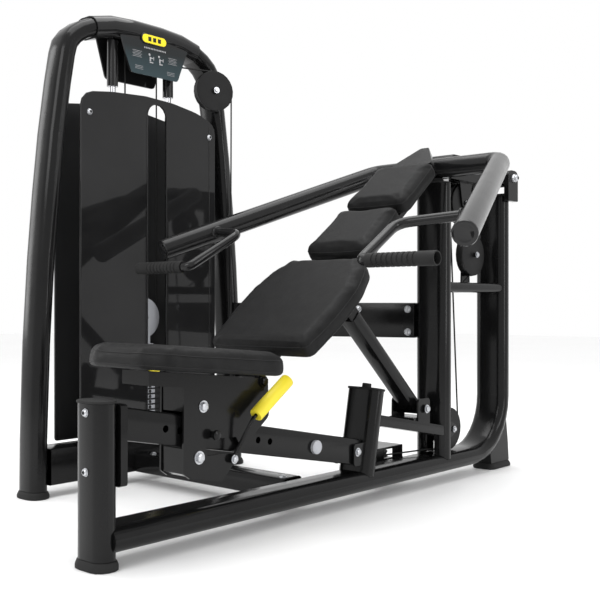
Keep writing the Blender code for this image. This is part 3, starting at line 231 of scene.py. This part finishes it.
def tone(value):
    """A near-neutral colour of one brightness, a trace cooler than grey."""
    return (value, value, value * 1.03)


def make_materials():
    """Every material of the machine by name."""
    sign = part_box("sign_plate")
    return {
        "paint": coated("powder_coat_black", tone(0.0040), tone(0.0065), (0.12, 0.20), 0.00014, 0.20),
        "gloss": coated("gloss_coat_black", tone(0.007), tone(0.010), (0.14, 0.21), 0.00008, 0.26),
        "plastic": coated("moulded_black", tone(0.010), tone(0.014), (0.025, 0.045), 0.00001, 0.28),
        "rear_plastic": coated("moulded_black_rear", tone(0.026), tone(0.032), (0.35, 0.45), 0.00005, 0.30),
        "nylon": coated("matte_black_nylon", tone(0.006), tone(0.009), (0.42, 0.52), 0.0001, 0.2),
        "rubber": rubber("black_rubber", (0.008, 0.008, 0.008)),
        "leather": leather("black_vinyl"),
        "thread": coated("seam_thread", tone(0.006), tone(0.010), (0.5, 0.6), 0.0002, 0.2),
        "steel": metal("zinc_plated_steel", (0.50, 0.51, 0.53), (0.22, 0.42), (1, 1, 1)),
        "stack": coated("plate_steel_black", tone(0.012), tone(0.024), (0.34, 0.52), 0.0003, 0.3),
        "chrome": metal("polished_rod", (0.55, 0.55, 0.57), (0.06, 0.16), (1, 1, 0.03), 900.0),
        "grey": coated("grey_nylon", (0.36, 0.37, 0.40), (0.48, 0.49, 0.52), (0.34, 0.48), 0.0002, 0.4),
        "yellow": coated("yellow_grip", (0.78, 0.64, 0.030), (0.86, 0.72, 0.045), (0.36, 0.50), 0.0002, 0.3,
                         500.0),
        "teal": sign_face("sign_print", sign[0][2], sign[1][2]),
        "white": coated("print_white", tone(0.30), tone(0.40), (0.4, 0.5), 0.0001, 0.3),
        "badge": coated("badge_yellow", (0.86, 0.66, 0.01), (0.94, 0.76, 0.02), (0.2, 0.3), 0.0001, 0.4),
    }


# ---------------------------------------------------------------- mesh helpers


def to_object(name, skin, look, smooth=35.0):
    """Turn a bmesh into a shaded object of the scene."""
    bmesh.ops.recalc_face_normals(skin, faces=skin.faces)
    mesh = bpy.data.meshes.new(name)
    skin.to_mesh(mesh)
    skin.free()
    mesh.shade_smooth()
    mesh.set_sharp_from_angle(angle=radians(smooth))
    mesh.materials.append(LOOKS[look])
    made = bpy.data.objects.new(name, mesh)
    bpy.context.scene.collection.objects.link(made)
    return made


def hexagon(apothem, angle):
    """Distance from the middle of a hexagon to its side at an angle."""
    part = angle % (pi / 3) - pi / 6
    return apothem / cos(part)


def spun(skin, profile, centre, axis, sides=28, hexed=()):
    """Add a turned shape to a bmesh. Rings whose index is in hexed are six-sided."""
    spin = Vector((0, 0, 1)).rotation_difference(Vector(axis)).to_matrix()
    rings = []
    for index, (radius, along) in enumerate(profile):
        ring = []
        count = sides if radius > 0 else 1
        for i in range(count):
            angle = 2 * pi * i / sides
            reach = hexagon(radius, angle) if index in hexed else radius
            flat = Vector((reach * cos(angle), reach * sin(angle), along))
            ring.append(skin.verts.new(spin @ flat + Vector(centre)))
        rings.append(ring)
    for low, high in zip(rings, rings[1:]):
        for i in range(sides):
            j = (i + 1) % sides
            corners = [low[i % len(low)], low[j % len(low)], high[j % len(high)], high[i % len(high)]]
            skin.faces.new(list(dict.fromkeys(corners)))


def turned(name, profile, centre, axis, look, sides=28, hexed=()):
    """A turned piece of its own."""
    skin = bmesh.new()
    spun(skin, profile, centre, axis, sides, hexed)
    return to_object(name, skin, look)


def rides(piece, body):
    """Put a finished piece on its body."""
    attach(piece, body)
    return piece


def tube(name, points, radius, look, cyclic=False):
    """A round tube through points, as a mesh."""
    data = bpy.data.curves.new(name, "CURVE")
    data.dimensions = "3D"
    data.bevel_depth = radius
    data.bevel_resolution = 2
    data.use_fill_caps = True
    line = data.splines.new("POLY")
    line.points.add(len(points) - 1)
    for target, point in zip(line.points, points):
        target.co = (*point, 1.0)
    line.use_cyclic_u = cyclic
    curve = bpy.data.objects.new(name + "_route", data)
    bpy.context.scene.collection.objects.link(curve)
    mesh = bpy.data.meshes.new_from_object(curve)
    mesh.name = name
    bpy.data.objects.remove(curve)
    mesh.shade_smooth()
    mesh.materials.clear()
    mesh.materials.append(LOOKS[look])
    made = bpy.data.objects.new(name, mesh)
    bpy.context.scene.collection.objects.link(made)
    return made


# ---------------------------------------------------------------- CAD nodes


def soften(node, width):
    """Smooth shading with small rounded edges on a CAD node, without touching its own vertices."""
    normals = node.data.attributes.get("custom_normal")
    if normals is not None:
        node.data.attributes.remove(normals)
    node.data.shade_smooth()
    join = node.modifiers.new("join", "WELD")
    join.merge_threshold = 0.00001
    flat = node.modifiers.new("flat", "DECIMATE")
    flat.decimate_type = "DISSOLVE"
    flat.angle_limit = radians(0.6)
    soft = node.modifiers.new("soft_edges", "BEVEL")
    soft.width = width
    soft.segments = 2
    soft.limit_method = "ANGLE"
    soft.angle_limit = radians(42)
    soft.use_clamp_overlap = True
    soft.harden_normals = True


def dress_nodes():
    """Give every CAD node the full material of its slot."""
    slots = {entry["node"]: entry["material_slot"] for entry in frame["record"]["subparts"]}
    for name, node in NODES.items():
        look = LOOKS[FINISHES.get(name, slots[name])]
        node.data.materials.clear()
        node.data.materials.append(look)
        soften(node, EDGE_WIDTHS.get(name, 0.0009))


# ---------------------------------------------------------------- fasteners


def frame_joint(name, field="pos_m"):
    """A field of a joint, its place unless another one is asked for."""
    for joint in frame["joints"]:
        if joint["name"] == name:
            return joint[field]
    raise KeyError(name)


def screw(name, centre, axis, radius, body, washer=1.5):
    """Button-head screw with a hexagon socket, on a round washer, with painted shade: a near-black disc down in
    the socket.
    """
    rise = radius * 0.62
    disc = radius * washer
    thick = 0.0018
    dome = ((1.0, 0), (1.0, 0.25), (0.93, 0.55), (0.72, 0.88), (0.60, 1.0), (0.48, 1.0), (0.48, 0.30),
            (0, 0.25))
    profile = [(0, 0), (disc, 0), (disc, thick * 0.7), (disc - thick * 0.5, thick)]
    profile += [(radius * wide, thick + rise * up) for wide, up in dome]
    rides(turned(name, profile, centre, axis, "steel", 24, (9, 10)), body)
    # Painted shade: a near-black rubber disc sits in the socket's recess to darken it.
    socket_shade_profile = ((0, 0.34), (0.47, 0.34), (0.47, 0.5), (0, 0.5))
    socket_shade_disc = [(radius * wide, thick + rise * up) for wide, up in socket_shade_profile]
    rides(turned(name + "_socket", socket_shade_disc, centre, axis, "rubber", 24, (1, 2)), body)


def nut(name, centre, axis, radius, body, look="steel"):
    """Hexagon head with a chamfer, on a washer."""
    high = radius * 0.75
    washer = 0.0016
    profile = [(0, 0), (radius * 1.45, 0), (radius * 1.45, washer), (radius * 1.02, washer),
               (radius * 0.94, washer), (radius * 0.94, high), (radius * 0.80, high + 0.0012),
               (0, high + 0.0012)]
    rides(turned(name, profile, centre, axis, look, 24, (4, 5)), body)


def cover_screws():
    """Screws of the front post and of both shrouds."""
    post_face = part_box("front_post")[0][1] - SMALL
    for i, height in enumerate((0.359, 0.224)):
        screw(f"post_bolt_{i}", (0, post_face, height), (0, -1, 0), 0.0088, "frame", 1.12)
    faces = (("front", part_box("shroud_front")[1][0] + SMALL, LEFT),
             ("rear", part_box("shroud_rear")[0][0] - SMALL, (-1, 0, 0)))
    for name, x, axis in faces:
        for i, (y, z) in enumerate(((0.508, 1.220), (1.030, 1.205), (0.508, 0.200), (1.026, 0.200))):
            screw(f"shroud_bolt_{name}_{i}", (x, y, z), axis, 0.0090, "frame", 1.12)


def pivot_bolts():
    """Bolt heads on both sides of the pivots, the linkage and the rail's rear end."""
    pivot = frame_joint("press_swing")
    strut = frame_joint("strut_swing")
    hinge = frame_joint("backrest_tilt")
    for name, side in (("left", 1), ("right", -1)):
        out = (side, 0, 0)
        screw(f"pivot_bolt_{name}", (0.0962 * side, pivot[1], pivot[2]), out, 0.011, "frame", 1.2)
        nut(f"strut_bolt_{name}", (0.0603 * side, strut[1], strut[2]), out, 0.0095, "strut")
        nut(f"rail_bolt_{name}", (0.0403 * side, *RAIL_BOLT), out, 0.0090, "frame")
        nut(f"hinge_bolt_{name}", (0.0523 * side, hinge[1], hinge[2]), out, 0.0105, "backrest", "paint")
        nut(f"strut_pin_bolt_{name}", (0.0313 * side, *STRUT_PIN), out, 0.0090, "backrest", "paint")


def side_bolts():
    """Bolt heads of the carriage, the lever, the beam, the floor tube and the tower's base."""
    nut("carriage_bolt_upper", (0.0453, 0.290, 0.350), LEFT, 0.0105, "carriage")
    nut("carriage_bolt_lower", (0.0453, 0.276, 0.224), LEFT, 0.0115, "carriage")
    lever = frame_joint("lever_pull")
    nut("lever_bolt", (0.0562, lever[1], lever[2]), LEFT, 0.0080, "lever")
    outward = Vector((-BEAM_RUN.y, BEAM_RUN.x, 0))
    for i, (reach, z) in enumerate(((0.022, 0.585), (0.022, 0.507), (0.203, 0.585), (0.203, 0.507))):
        spot = BEAM_START + Vector((0, 0, z)) + BEAM_RUN * reach + outward * (BEAM_HALF + SMALL)
        nut(f"beam_bolt_{i}", spot, outward, 0.0085, "frame")
    for i, (x, y) in enumerate(((-0.080, 0.722), (-0.690, CROSS_TUBE_Y))):
        nut(f"cross_tube_bolt_{i}", (x, y, 0.0973), (0, 0, 1), 0.0080, "frame")
    screw("base_tube_bolt", (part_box("tower_foot_front")[1][0] - 0.0068, 0.759, 0.083), LEFT, 0.0095, "frame")


def axle_bolts():
    """Silver heads on the ends of the pulleys' axles."""
    wheels = (("top_wheel", "top_wheel_spin", 0.0272), ("tower_low_wheel", "tower_low_wheel_spin", 0.0262),
              ("post_wheel", "post_wheel_spin", 0.0302), ("arm_wheel", "arm_wheel_spin", 0.0267),
              ("flat_wheel", "flat_wheel_spin", 0.0267), ("head_wheel", "head_wheel_spin", 0.0282))
    for body, joint, stub in wheels:
        axis = Vector(frame_joint(joint, "axis")).normalized()
        centre = Vector(frame_joint(joint))
        for name, side in (("a", 1), ("b", -1)):
            nut(f"{body}_bolt_{name}", centre + axis * stub * side, axis * side, 0.0075, body)
    low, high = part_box("shelf_pulley")
    middle = [(a + b) / 2 for a, b in zip(low, high)]
    for name, x, side in (("a", high[0] + 0.0002, 1), ("b", low[0] - 0.0002, -1)):
        nut(f"shelf_wheel_bolt_{name}", (x, middle[1], middle[2]), (side, 0, 0), 0.0075, "frame")


def rod_sleeves():
    """Dark sleeves round the upper ends of the guide rods."""
    radius, start, end = ROD_SLEEVE
    outer = radius + 0.0006
    profile = [(radius, start), (outer, start + 0.0004), (outer, end - 0.0004), (radius, end)]
    for name in ("guide_rod_front", "guide_rod_rear"):
        low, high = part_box(name)
        spot = ((low[0] + high[0]) / 2, (low[1] + high[1]) / 2, 0)
        rides(turned(name + "_sleeve", profile, spot, (0, 0, 1), "plastic", 32), "frame")


# ---------------------------------------------------------------- upholstery


def cushion(name, node, body, normal):
    """Upholstered pad blown up from its CAD solid by a cloth simulation."""
    source = NODES[node]
    made = bpy.data.objects.new(name, source.data.copy())
    bpy.context.scene.collection.objects.link(made)
    shell = made.modifiers.new("voxels", "REMESH")
    shell.mode = "VOXEL"
    shell.voxel_size = VOXEL
    apply_modifiers(made)
    swell(made, normal)
    even = made.modifiers.new("even", "SMOOTH")
    even.factor = 0.5
    even.iterations = 6
    apply_modifiers(made)
    finer = made.modifiers.new("finer", "SUBSURF")
    finer.levels = 1
    finer.render_levels = 1
    made.data.materials.clear()
    made.data.materials.append(LOOKS["leather"])
    made.data.shade_smooth()
    apply_modifiers(made)
    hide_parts(node)
    rides(made, body)
    return made


def apply_modifiers(piece):
    """Replace a piece's mesh by its evaluated mesh."""
    depsgraph = bpy.context.evaluated_depsgraph_get()
    mesh = bpy.data.meshes.new_from_object(piece.evaluated_get(depsgraph))
    piece.modifiers.clear()
    piece.data = mesh


def swell(piece, normal):
    """Inflate the top of a pad by cloth pressure, with its underside pinned and the motion capped."""
    rest = [v.co.copy() for v in piece.data.vertices]
    heights = [p.dot(normal) for p in rest]
    floor = min(heights)
    group = piece.vertex_groups.new(name="held")
    for index, height in enumerate(heights):
        hold = max(0.0, min(1.0, 1.0 - (height - floor - PIN_HEIGHT) / PIN_FADE))
        if hold > 0:
            group.add([index], hold, "REPLACE")
    cloth = piece.modifiers.new("cloth", "CLOTH")
    cloth.settings.use_pressure = True
    cloth.settings.uniform_pressure_force = SWELL_PRESSURE
    cloth.settings.vertex_group_mass = "held"
    cloth.settings.quality = 6
    cloth.settings.effector_weights.gravity = 0.0
    cloth.point_cache.frame_start = 1
    cloth.point_cache.frame_end = SIM_FRAMES
    scene = bpy.context.scene
    for number in range(1, SIM_FRAMES + 1):
        scene.frame_set(number)
    depsgraph = bpy.context.evaluated_depsgraph_get()
    mesh = bpy.data.meshes.new_from_object(piece.evaluated_get(depsgraph))
    for vertex, start in zip(mesh.vertices, rest):
        move = vertex.co - start
        if move.length > SWELL_CAP:
            vertex.co = start + move.normalized() * SWELL_CAP
    piece.modifiers.clear()
    piece.vertex_groups.clear()
    piece.data = mesh
    scene.frame_set(1)


def welt(name, pad_piece, node, body, normal, level):
    """Seam round a pad, at a height over its underside, laid on the swollen surface."""
    source = NODES[node].data
    heights = [v.co.dot(normal) for v in source.vertices]
    floor = min(heights)
    ring = {}
    for vertex, height in zip(source.vertices, heights):
        if abs(height - floor - level) < 0.003:
            ring[tuple(round(c, 5) for c in vertex.co)] = vertex.co.copy()
    middle = sum(ring.values(), Vector()) / len(ring)
    across = Vector((1, 0, 0))
    along = normal.cross(across)
    order = sorted(ring.values(), key=lambda p: angle_of((p - middle).dot(across), (p - middle).dot(along)))
    dense = []
    for here, there in zip(order, order[1:] + order[:1]):
        count = max(1, int((there - here).length / 0.006))
        dense += [here.lerp(there, i / count) for i in range(count)]
    path = []
    for point in dense:
        outward = (point - middle).normalized()
        _, spot, _, _ = pad_piece.closest_point_on_mesh(point + outward * 0.004)
        path.append(spot)
    path = [(path[i - 1] + path[i] * 2 + path[(i + 1) % len(path)]) / 4 for i in range(len(path))]
    rides(tube(name, path, 0.0014, "thread", cyclic=True), body)


def angle_of(a, b):
    """Angle of a point round the middle."""
    return Vector((a, b)).angle_signed(Vector((1, 0)), 0.0)


def upholstery():
    """Seat, lower back, middle back and head pad, each with its seam."""
    seat_up = Vector((0, sin(SEAT_TILT), cos(SEAT_TILT)))
    back_up = Vector((0, -sin(BACK_TILT), cos(BACK_TILT)))
    for name, node, body, normal in (
            ("seat_cushion", "seat_pad", "carriage", seat_up),
            ("lower_back_cushion", "back_pad_lower", "backrest", back_up),
            ("middle_back_cushion", "back_pad_middle", "backrest", back_up),
            ("head_cushion", "head_pad", "backrest", back_up)):
        piece = cushion(name, node, body, normal)
        for suffix, level in zip(("_seam", "_lower_seam"), SEAM_HEIGHTS):
            welt(name + suffix, piece, node, body, normal, level)


# ---------------------------------------------------------------- trim


def arm_trim():
    """End caps of the press arm and the weld collars where the handles leave it."""
    profile_cap = [(0.0300, -0.0120), (0.0300, 0.0004), (0.0338, 0.0004), (0.0340, 0.0030), (0.0325, 0.0062),
                   (0.0285, 0.0078), (0.0225, 0.0072), (0.0205, 0.0060), (0, 0.0066)]
    for name, side in (("left", 1), ("right", -1)):
        end = Vector((ARM_END.x * side, ARM_END.y, ARM_END.z))
        corner = Vector((ARM_CORNER.x * side, ARM_CORNER.y, ARM_CORNER.z))
        along = (end - corner).normalized()
        rides(turned(f"arm_cap_{name}", profile_cap, end, along, "plastic", 40), "press")
        inner = Vector((HANDLE_BEND.x * side, HANDLE_BEND.y, HANDLE_BEND.z))
        meet = corner + along * (inner - corner).dot(along)
        out = (inner - meet).normalized()
        bead = [(HANDLE_R - 0.001, -0.0035), (HANDLE_R + 0.006, -0.0020), (HANDLE_R + 0.0055, 0.0012),
                (HANDLE_R + 0.003, 0.0040), (HANDLE_R - 0.001, 0.0058)]
        collar = turned(f"handle_weld_{name}", bead, meet + out * ARM_R, out, "gloss", 32)
        rides(collar, "press")


def lever_sleeve():
    """Thick soft sleeve over the lever's grip."""
    start, end = LEVER_GRIP
    reach = end - start
    tip = reach.length + 0.0094
    edge = LEVER_GRIP_R - 0.0014
    profile = [(0.0110, -0.0045), (edge, -0.0045), (LEVER_GRIP_R, -0.0020), (LEVER_GRIP_R, tip - 0.0030),
               (edge, tip), (0, tip)]
    rides(turned("lever_sleeve", profile, start, reach.normalized(), "yellow", 32), "lever")


def squared(value):
    """A sine or cosine pushed towards 1, which turns an ellipse into a rounded rectangle."""
    return abs(value) ** 0.35 * (1 if value > 0 else -1)


def weld_bead(name, centre, axis, across, width, depth, body):
    """Rippled weld round the foot of a tube with a box section."""
    across = Vector(across)
    up = Vector(axis).cross(across)
    points = []
    count = 120
    for i in range(count):
        angle = 2 * pi * i / count
        ripple = 1 + 0.004 * sin(i * 3.1)
        side_reach = squared(cos(angle)) * width / 2 * ripple
        up_reach = squared(sin(angle)) * depth / 2 * ripple
        points.append(Vector(centre) + across * side_reach + up * up_reach)
    rides(tube(name, points, WELD_R, "paint", cyclic=True), body)


def weld_beads():
    """Welds that show where tubes meet."""
    stem_front = (0, ARM_CORNER.y + ARM_R + 0.0005, 1.0640)
    weld_bead("weld_stem", stem_front, (0, 1, 0), (1, 0, 0), 0.086, 0.062, "press")
    tube_end = (-OVAL_W / 2 - 0.0015, CROSS_TUBE_Y, SPINE_Z)
    weld_bead("weld_cross_tube", tube_end, (1, 0, 0), (0, 1, 0), 0.080, 0.058, "frame")


def spine_end():
    """Plate that closes the spine's end on both sides of the front post."""
    skin = bmesh.new()
    straight = (OVAL_W - OVAL_D) / 2
    radius = OVAL_D / 2 - 0.0006
    outline = []
    for end in (1, -1):
        for i in range(13):
            angle = -pi / 2 + pi * i / 12
            outline.append((end * (straight + radius * cos(angle)), SPINE_Z + end * radius * sin(angle)))
    front, back = ([skin.verts.new((x, y, z)) for x, z in outline] for y in (0.0070, 0.0125))
    for i in range(len(outline)):
        j = (i + 1) % len(outline)
        skin.faces.new((front[i], front[j], back[j], back[i]))
    skin.faces.new(front[::-1])
    skin.faces.new(back)
    rides(to_object("spine_end", skin, "paint"), "frame")


def strip_box(skin, centre, size):
    """Add a small box with slightly narrowed front face."""
    cx, cy, cz = centre
    dx, dy, dz = (s / 2 for s in size)
    narrow = 0.85
    square = ((-1, -1), (1, -1), (1, 1), (-1, 1))
    back = [skin.verts.new((cx - dx, cy + a * dy, cz + b * dz)) for a, b in square]
    face = [skin.verts.new((cx + dx, cy + a * dy * narrow, cz + b * dz * narrow)) for a, b in square]
    skin.faces.new(back[::-1])
    skin.faces.new(face)
    for i in range(4):
        j = (i + 1) % 4
        skin.faces.new((back[i], back[j], face[j], face[i]))


def sign_graphics():
    """Generic printing of the instruction plate: rows of plain strokes and two abstract exercise marks."""
    low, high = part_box("sign_plate")
    x = high[0] + SMALL
    middle = (low[1] + high[1]) / 2
    ink = 0.0004
    line = 0.0012
    skin = bmesh.new()
    for i in range(14):
        strip_box(skin, (x, middle - 0.0455 + i * 0.0070, 1.4760), (ink, 0.0044, 0.0052))
    for side in (-1, 1):
        for row in range(5):
            width = 0.040 - 0.008 * (row % 2)
            strip_box(skin, (x, middle + side * 0.078, 1.4590 - row * 0.0050), (ink, width, line))
        for row in range(3):
            strip_box(skin, (x, middle + side * 0.070, 1.4090 - row * 0.0050), (ink, 0.034, line))
    to_print = to_object("sign_lines", skin, "white")
    rides(to_print, "frame")
    marks = bmesh.new()
    for side in (-1, 1):
        y = middle + side * 0.021
        spun(marks, [(0, 0), (0.0042, 0), (0.0038, ink), (0, ink)], (x, y - 0.004, 1.4545), (1, 0, 0), 18)
        strip_box(marks, (x, y, 1.4400), (ink, 0.0062, 0.0150))
        strip_box(marks, (x, y + 0.0085, 1.4440), (ink, 0.0120, 0.0032))
        strip_box(marks, (x, y + 0.0050, 1.4290), (ink, 0.0150, 0.0040))
        strip_box(marks, (x, y + 0.0145, 1.4440), (ink, 0.0026, 0.0120))
    rides(to_object("sign_marks", marks, "white"), "frame")


def capsule(skin, x, y, z, half, radius, thick):
    """Add a raised plate with round ends and a bevelled rim, facing +X."""
    rings = []
    for inset, lift in ((0, 0), (0, thick * 0.6), (thick * 0.5, thick), (radius * 0.999, thick)):
        ring = []
        reach = max(radius - inset, 0.0002)
        for end in (1, -1):
            for i in range(13):
                angle = -pi / 2 + pi * i / 12
                place = (x + lift, y + end * (half + reach * cos(angle)), z + end * reach * sin(angle))
                ring.append(skin.verts.new(place))
        rings.append(ring)
    for low, high in zip(rings, rings[1:]):
        for i in range(len(low)):
            j = (i + 1) % len(low)
            skin.faces.new((low[i], low[j], high[j], high[i]))
    skin.faces.new(rings[-1])
    skin.faces.new(rings[0][::-1])


def badge():
    """Plain yellow capsule badge on a dark base, with three slanted bars and no lettering."""
    low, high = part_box("sign_plate")
    x = high[0] + SMALL
    middle = (low[1] + high[1]) / 2 - 0.006
    height = 1.5065
    base_thick = 0.0030
    face_thick = 0.0012
    base = bmesh.new()
    capsule(base, x, middle, height, 0.0385, 0.0180, base_thick)
    rides(to_object("badge_base", base, "plastic"), "frame")
    face = bmesh.new()
    capsule(face, x + base_thick + 0.0001, middle, height, 0.0380, 0.0142, face_thick)
    rides(to_object("badge_face", face, "badge"), "frame")
    bars = bmesh.new()
    top = x + base_thick + face_thick + 0.0005
    for i in range(-1, 2):
        strip_box(bars, (top, middle + i * 0.0210, height), (0.0006, 0.0140, 0.0150))
    rides(to_object("badge_bars", bars, "plastic"), "frame")


def plate_labels():
    """Plain light tabs on the stack's plates, each with its pin hole, on both bodies of the stack."""
    low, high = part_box("resting_plates")
    face = high[0] + SMALL
    bottom = low[2]
    split = high[2]
    pitch = (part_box("stack_head")[0][2] - bottom) / STACK_PLATES
    middle = (low[1] + high[1]) / 2
    for i in range(STACK_PLATES):
        z = bottom + (i + 0.5) * pitch
        body = "frame" if z < split else "stack"
        skin = bmesh.new()
        strip_box(skin, (face, middle, z), (0.0006, 0.0440, 0.0120))
        rides(to_object(f"plate_label_{i}", skin, "grey"), body)
        profile = [(0.0058, 0), (0.0058, 0.0009), (0.0046, 0.0011), (0.0040, 0.0006), (0, 0.0006)]
        ring = turned(f"plate_hole_{i}", profile, (face + 0.0002, middle, z), LEFT, "stack", 20)
        rides(ring, body)


def shroud_trim():
    """Fine edge round the selector slot and a seam down the front shroud."""
    low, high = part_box("shroud_front")
    x = high[0] + 0.0009
    points = [Vector((x, SLOT_MIDDLE - SLOT_HALF, SLOT_LOW))]
    for i in range(17):
        angle = pi - pi * i / 16
        points.append(Vector((x, SLOT_MIDDLE + SLOT_HALF * cos(angle), SLOT_ARC_Z + SLOT_HALF * sin(angle))))
    points.append(Vector((x, SLOT_MIDDLE + SLOT_HALF, SLOT_LOW)))
    rides(tube("slot_trim", points, 0.0016, "plastic"), "frame")
    tall = high[2] - low[2] - 0.075
    seam = [Vector((x - 0.0004, high[1] - 0.030, low[2] + 0.01 + i * tall / 20)) for i in range(21)]
    rides(tube("shroud_seam", seam, 0.0012, "plastic"), "frame")


# ---------------------------------------------------------------- cables


def cable_from(name, node):
    """A cable stretch in finer detail than its CAD solid."""
    mesh = NODES[node].data.copy()
    piece = bpy.data.objects.new(name, mesh)
    bpy.context.scene.collection.objects.link(piece)
    divide = bmesh.new()
    divide.from_mesh(mesh)
    long_edges = [e for e in divide.edges if e.calc_length() > 0.05]
    bmesh.ops.subdivide_edges(divide, edges=long_edges, cuts=10, use_grid_fill=True)
    divide.to_mesh(mesh)
    divide.free()
    mesh.materials.clear()
    mesh.materials.append(LOOKS["rubber"])
    mesh.shade_smooth()
    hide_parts(node)
    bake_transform(piece)
    return piece


def cables():
    """The stretches that change length. The stack rises about as far as the arm's pulley does."""
    cable_from("stack_cable_visual", "stack_cable")
    cable_from("riser_cable_visual", "riser_cable")
    cable_from("anchored_cable_visual", "anchored_cable")


# ---------------------------------------------------------------- light and camera


def floor():
    """Pale studio floor with a soft mottling."""
    made, tree, shader = new_material("studio_floor", tone(0.95), 0.55)
    tree.links.new(ramp(tree, noise(tree, 0.7, 2.0), [(0.3, (0.94, 0.94, 0.94)), (0.7, (0.96, 0.96, 0.96))]),
                   shader.inputs["Base Color"])
    skin = bmesh.new()
    size = 14.0
    square = ((-1, -1), (1, -1), (1, 1), (-1, 1))
    skin.faces.new([skin.verts.new((a * size, b * size, -0.0005)) for a, b in square])
    mesh = bpy.data.meshes.new("studio_floor")
    skin.to_mesh(mesh)
    skin.free()
    mesh.materials.append(made)
    piece = bpy.data.objects.new("studio_floor", mesh)
    bpy.context.scene.collection.objects.link(piece)


def area_light(name, place, target, size, power):
    """A rectangular soft light aimed at a point."""
    data = bpy.data.lights.new(name, "AREA")
    data.shape = "RECTANGLE"
    data.size = size[0]
    data.size_y = size[1]
    data.energy = power
    lamp = bpy.data.objects.new(name, data)
    lamp.location = place
    lamp.rotation_euler = (Vector(target) - Vector(place)).to_track_quat("-Z", "Y").to_euler()
    bpy.context.scene.collection.objects.link(lamp)


def studio():
    """White surroundings, a soft key from the front, a light from above and two strips for highlights."""
    world = bpy.data.worlds.new("studio_world")
    world.use_nodes = True
    sky = world.node_tree.nodes["Background"]
    sky.inputs["Color"].default_value = (1.0, 1.0, 1.0, 1.0)
    sky.inputs["Strength"].default_value = 1.0
    bpy.context.scene.world = world
    bpy.context.scene.view_settings.view_transform = "Standard"
    middle = (-0.2, 0.9, 0.6)
    area_light("key", (0.2, -3.2, 3.0), middle, (2.2, 2.2), 60)
    area_light("side_strip", (3.4, 1.6, 1.6), middle, (0.7, 2.6), 28)
    area_light("top", (-0.3, 0.9, 4.0), middle, (3.0, 3.0), 90)
    area_light("tower_strip", (-3.6, -0.8, 1.8), middle, (0.8, 2.6), 22)


def camera():
    """Camera at the photograph's angle: eye height of 0.61 m, looking level."""
    data = bpy.data.cameras.new("camera")
    data.sensor_width = 36.0
    data.lens = LENS
    data.shift_y = EYE_SHIFT
    eye = bpy.data.objects.new("camera", data)
    eye.location = EYE
    eye.rotation_euler = (radians(90), 0, radians(EYE_TURN))
    bpy.context.scene.collection.objects.link(eye)
    bpy.context.scene.camera = eye


def corners(bounds):
    """A pair of corners as plain lists."""
    return [[float(c) for c in corner] for corner in bounds]


FINISHES = {
    "top_pulley": "nylon", "tower_floor_pulley": "nylon", "floor_pulley": "nylon", "lower_pulley": "nylon",
    "shelf_pulley": "nylon", "arm_pulley": "nylon", "shroud_rear": "rear_plastic",
}

LOOKS = make_materials()
EDGE_WIDTHS = {
    "spine_tube": 0.0006, "seat_rail": 0.0006, "seat_carriage": 0.0012, "sign_plate": 0.0005,
    "pop_pin": 0.0005, "resting_plates": 0.0004, "lifted_plates": 0.0004,
    "handle_left": 0.0004, "handle_right": 0.0004, "grip_left": 0.0003, "grip_right": 0.0003,
    "stack_cable": 0.0002, "run_cable": 0.0002, "riser_cable": 0.0002, "anchored_cable": 0.0002,
    "front_foot": 0.0030, "rear_foot": 0.0030, "tower_foot_front": 0.0030, "tower_foot_rear": 0.0030,
    "shroud_front": 0.0030, "shroud_rear": 0.0030,
}
camera()
dress_nodes()
cover_screws()
pivot_bolts()
side_bolts()
axle_bolts()
rod_sleeves()
arm_trim()
lever_sleeve()
weld_beads()
spine_end()
sign_graphics()
badge()
plate_labels()
shroud_trim()
cables()
upholstery()
floor()
studio()
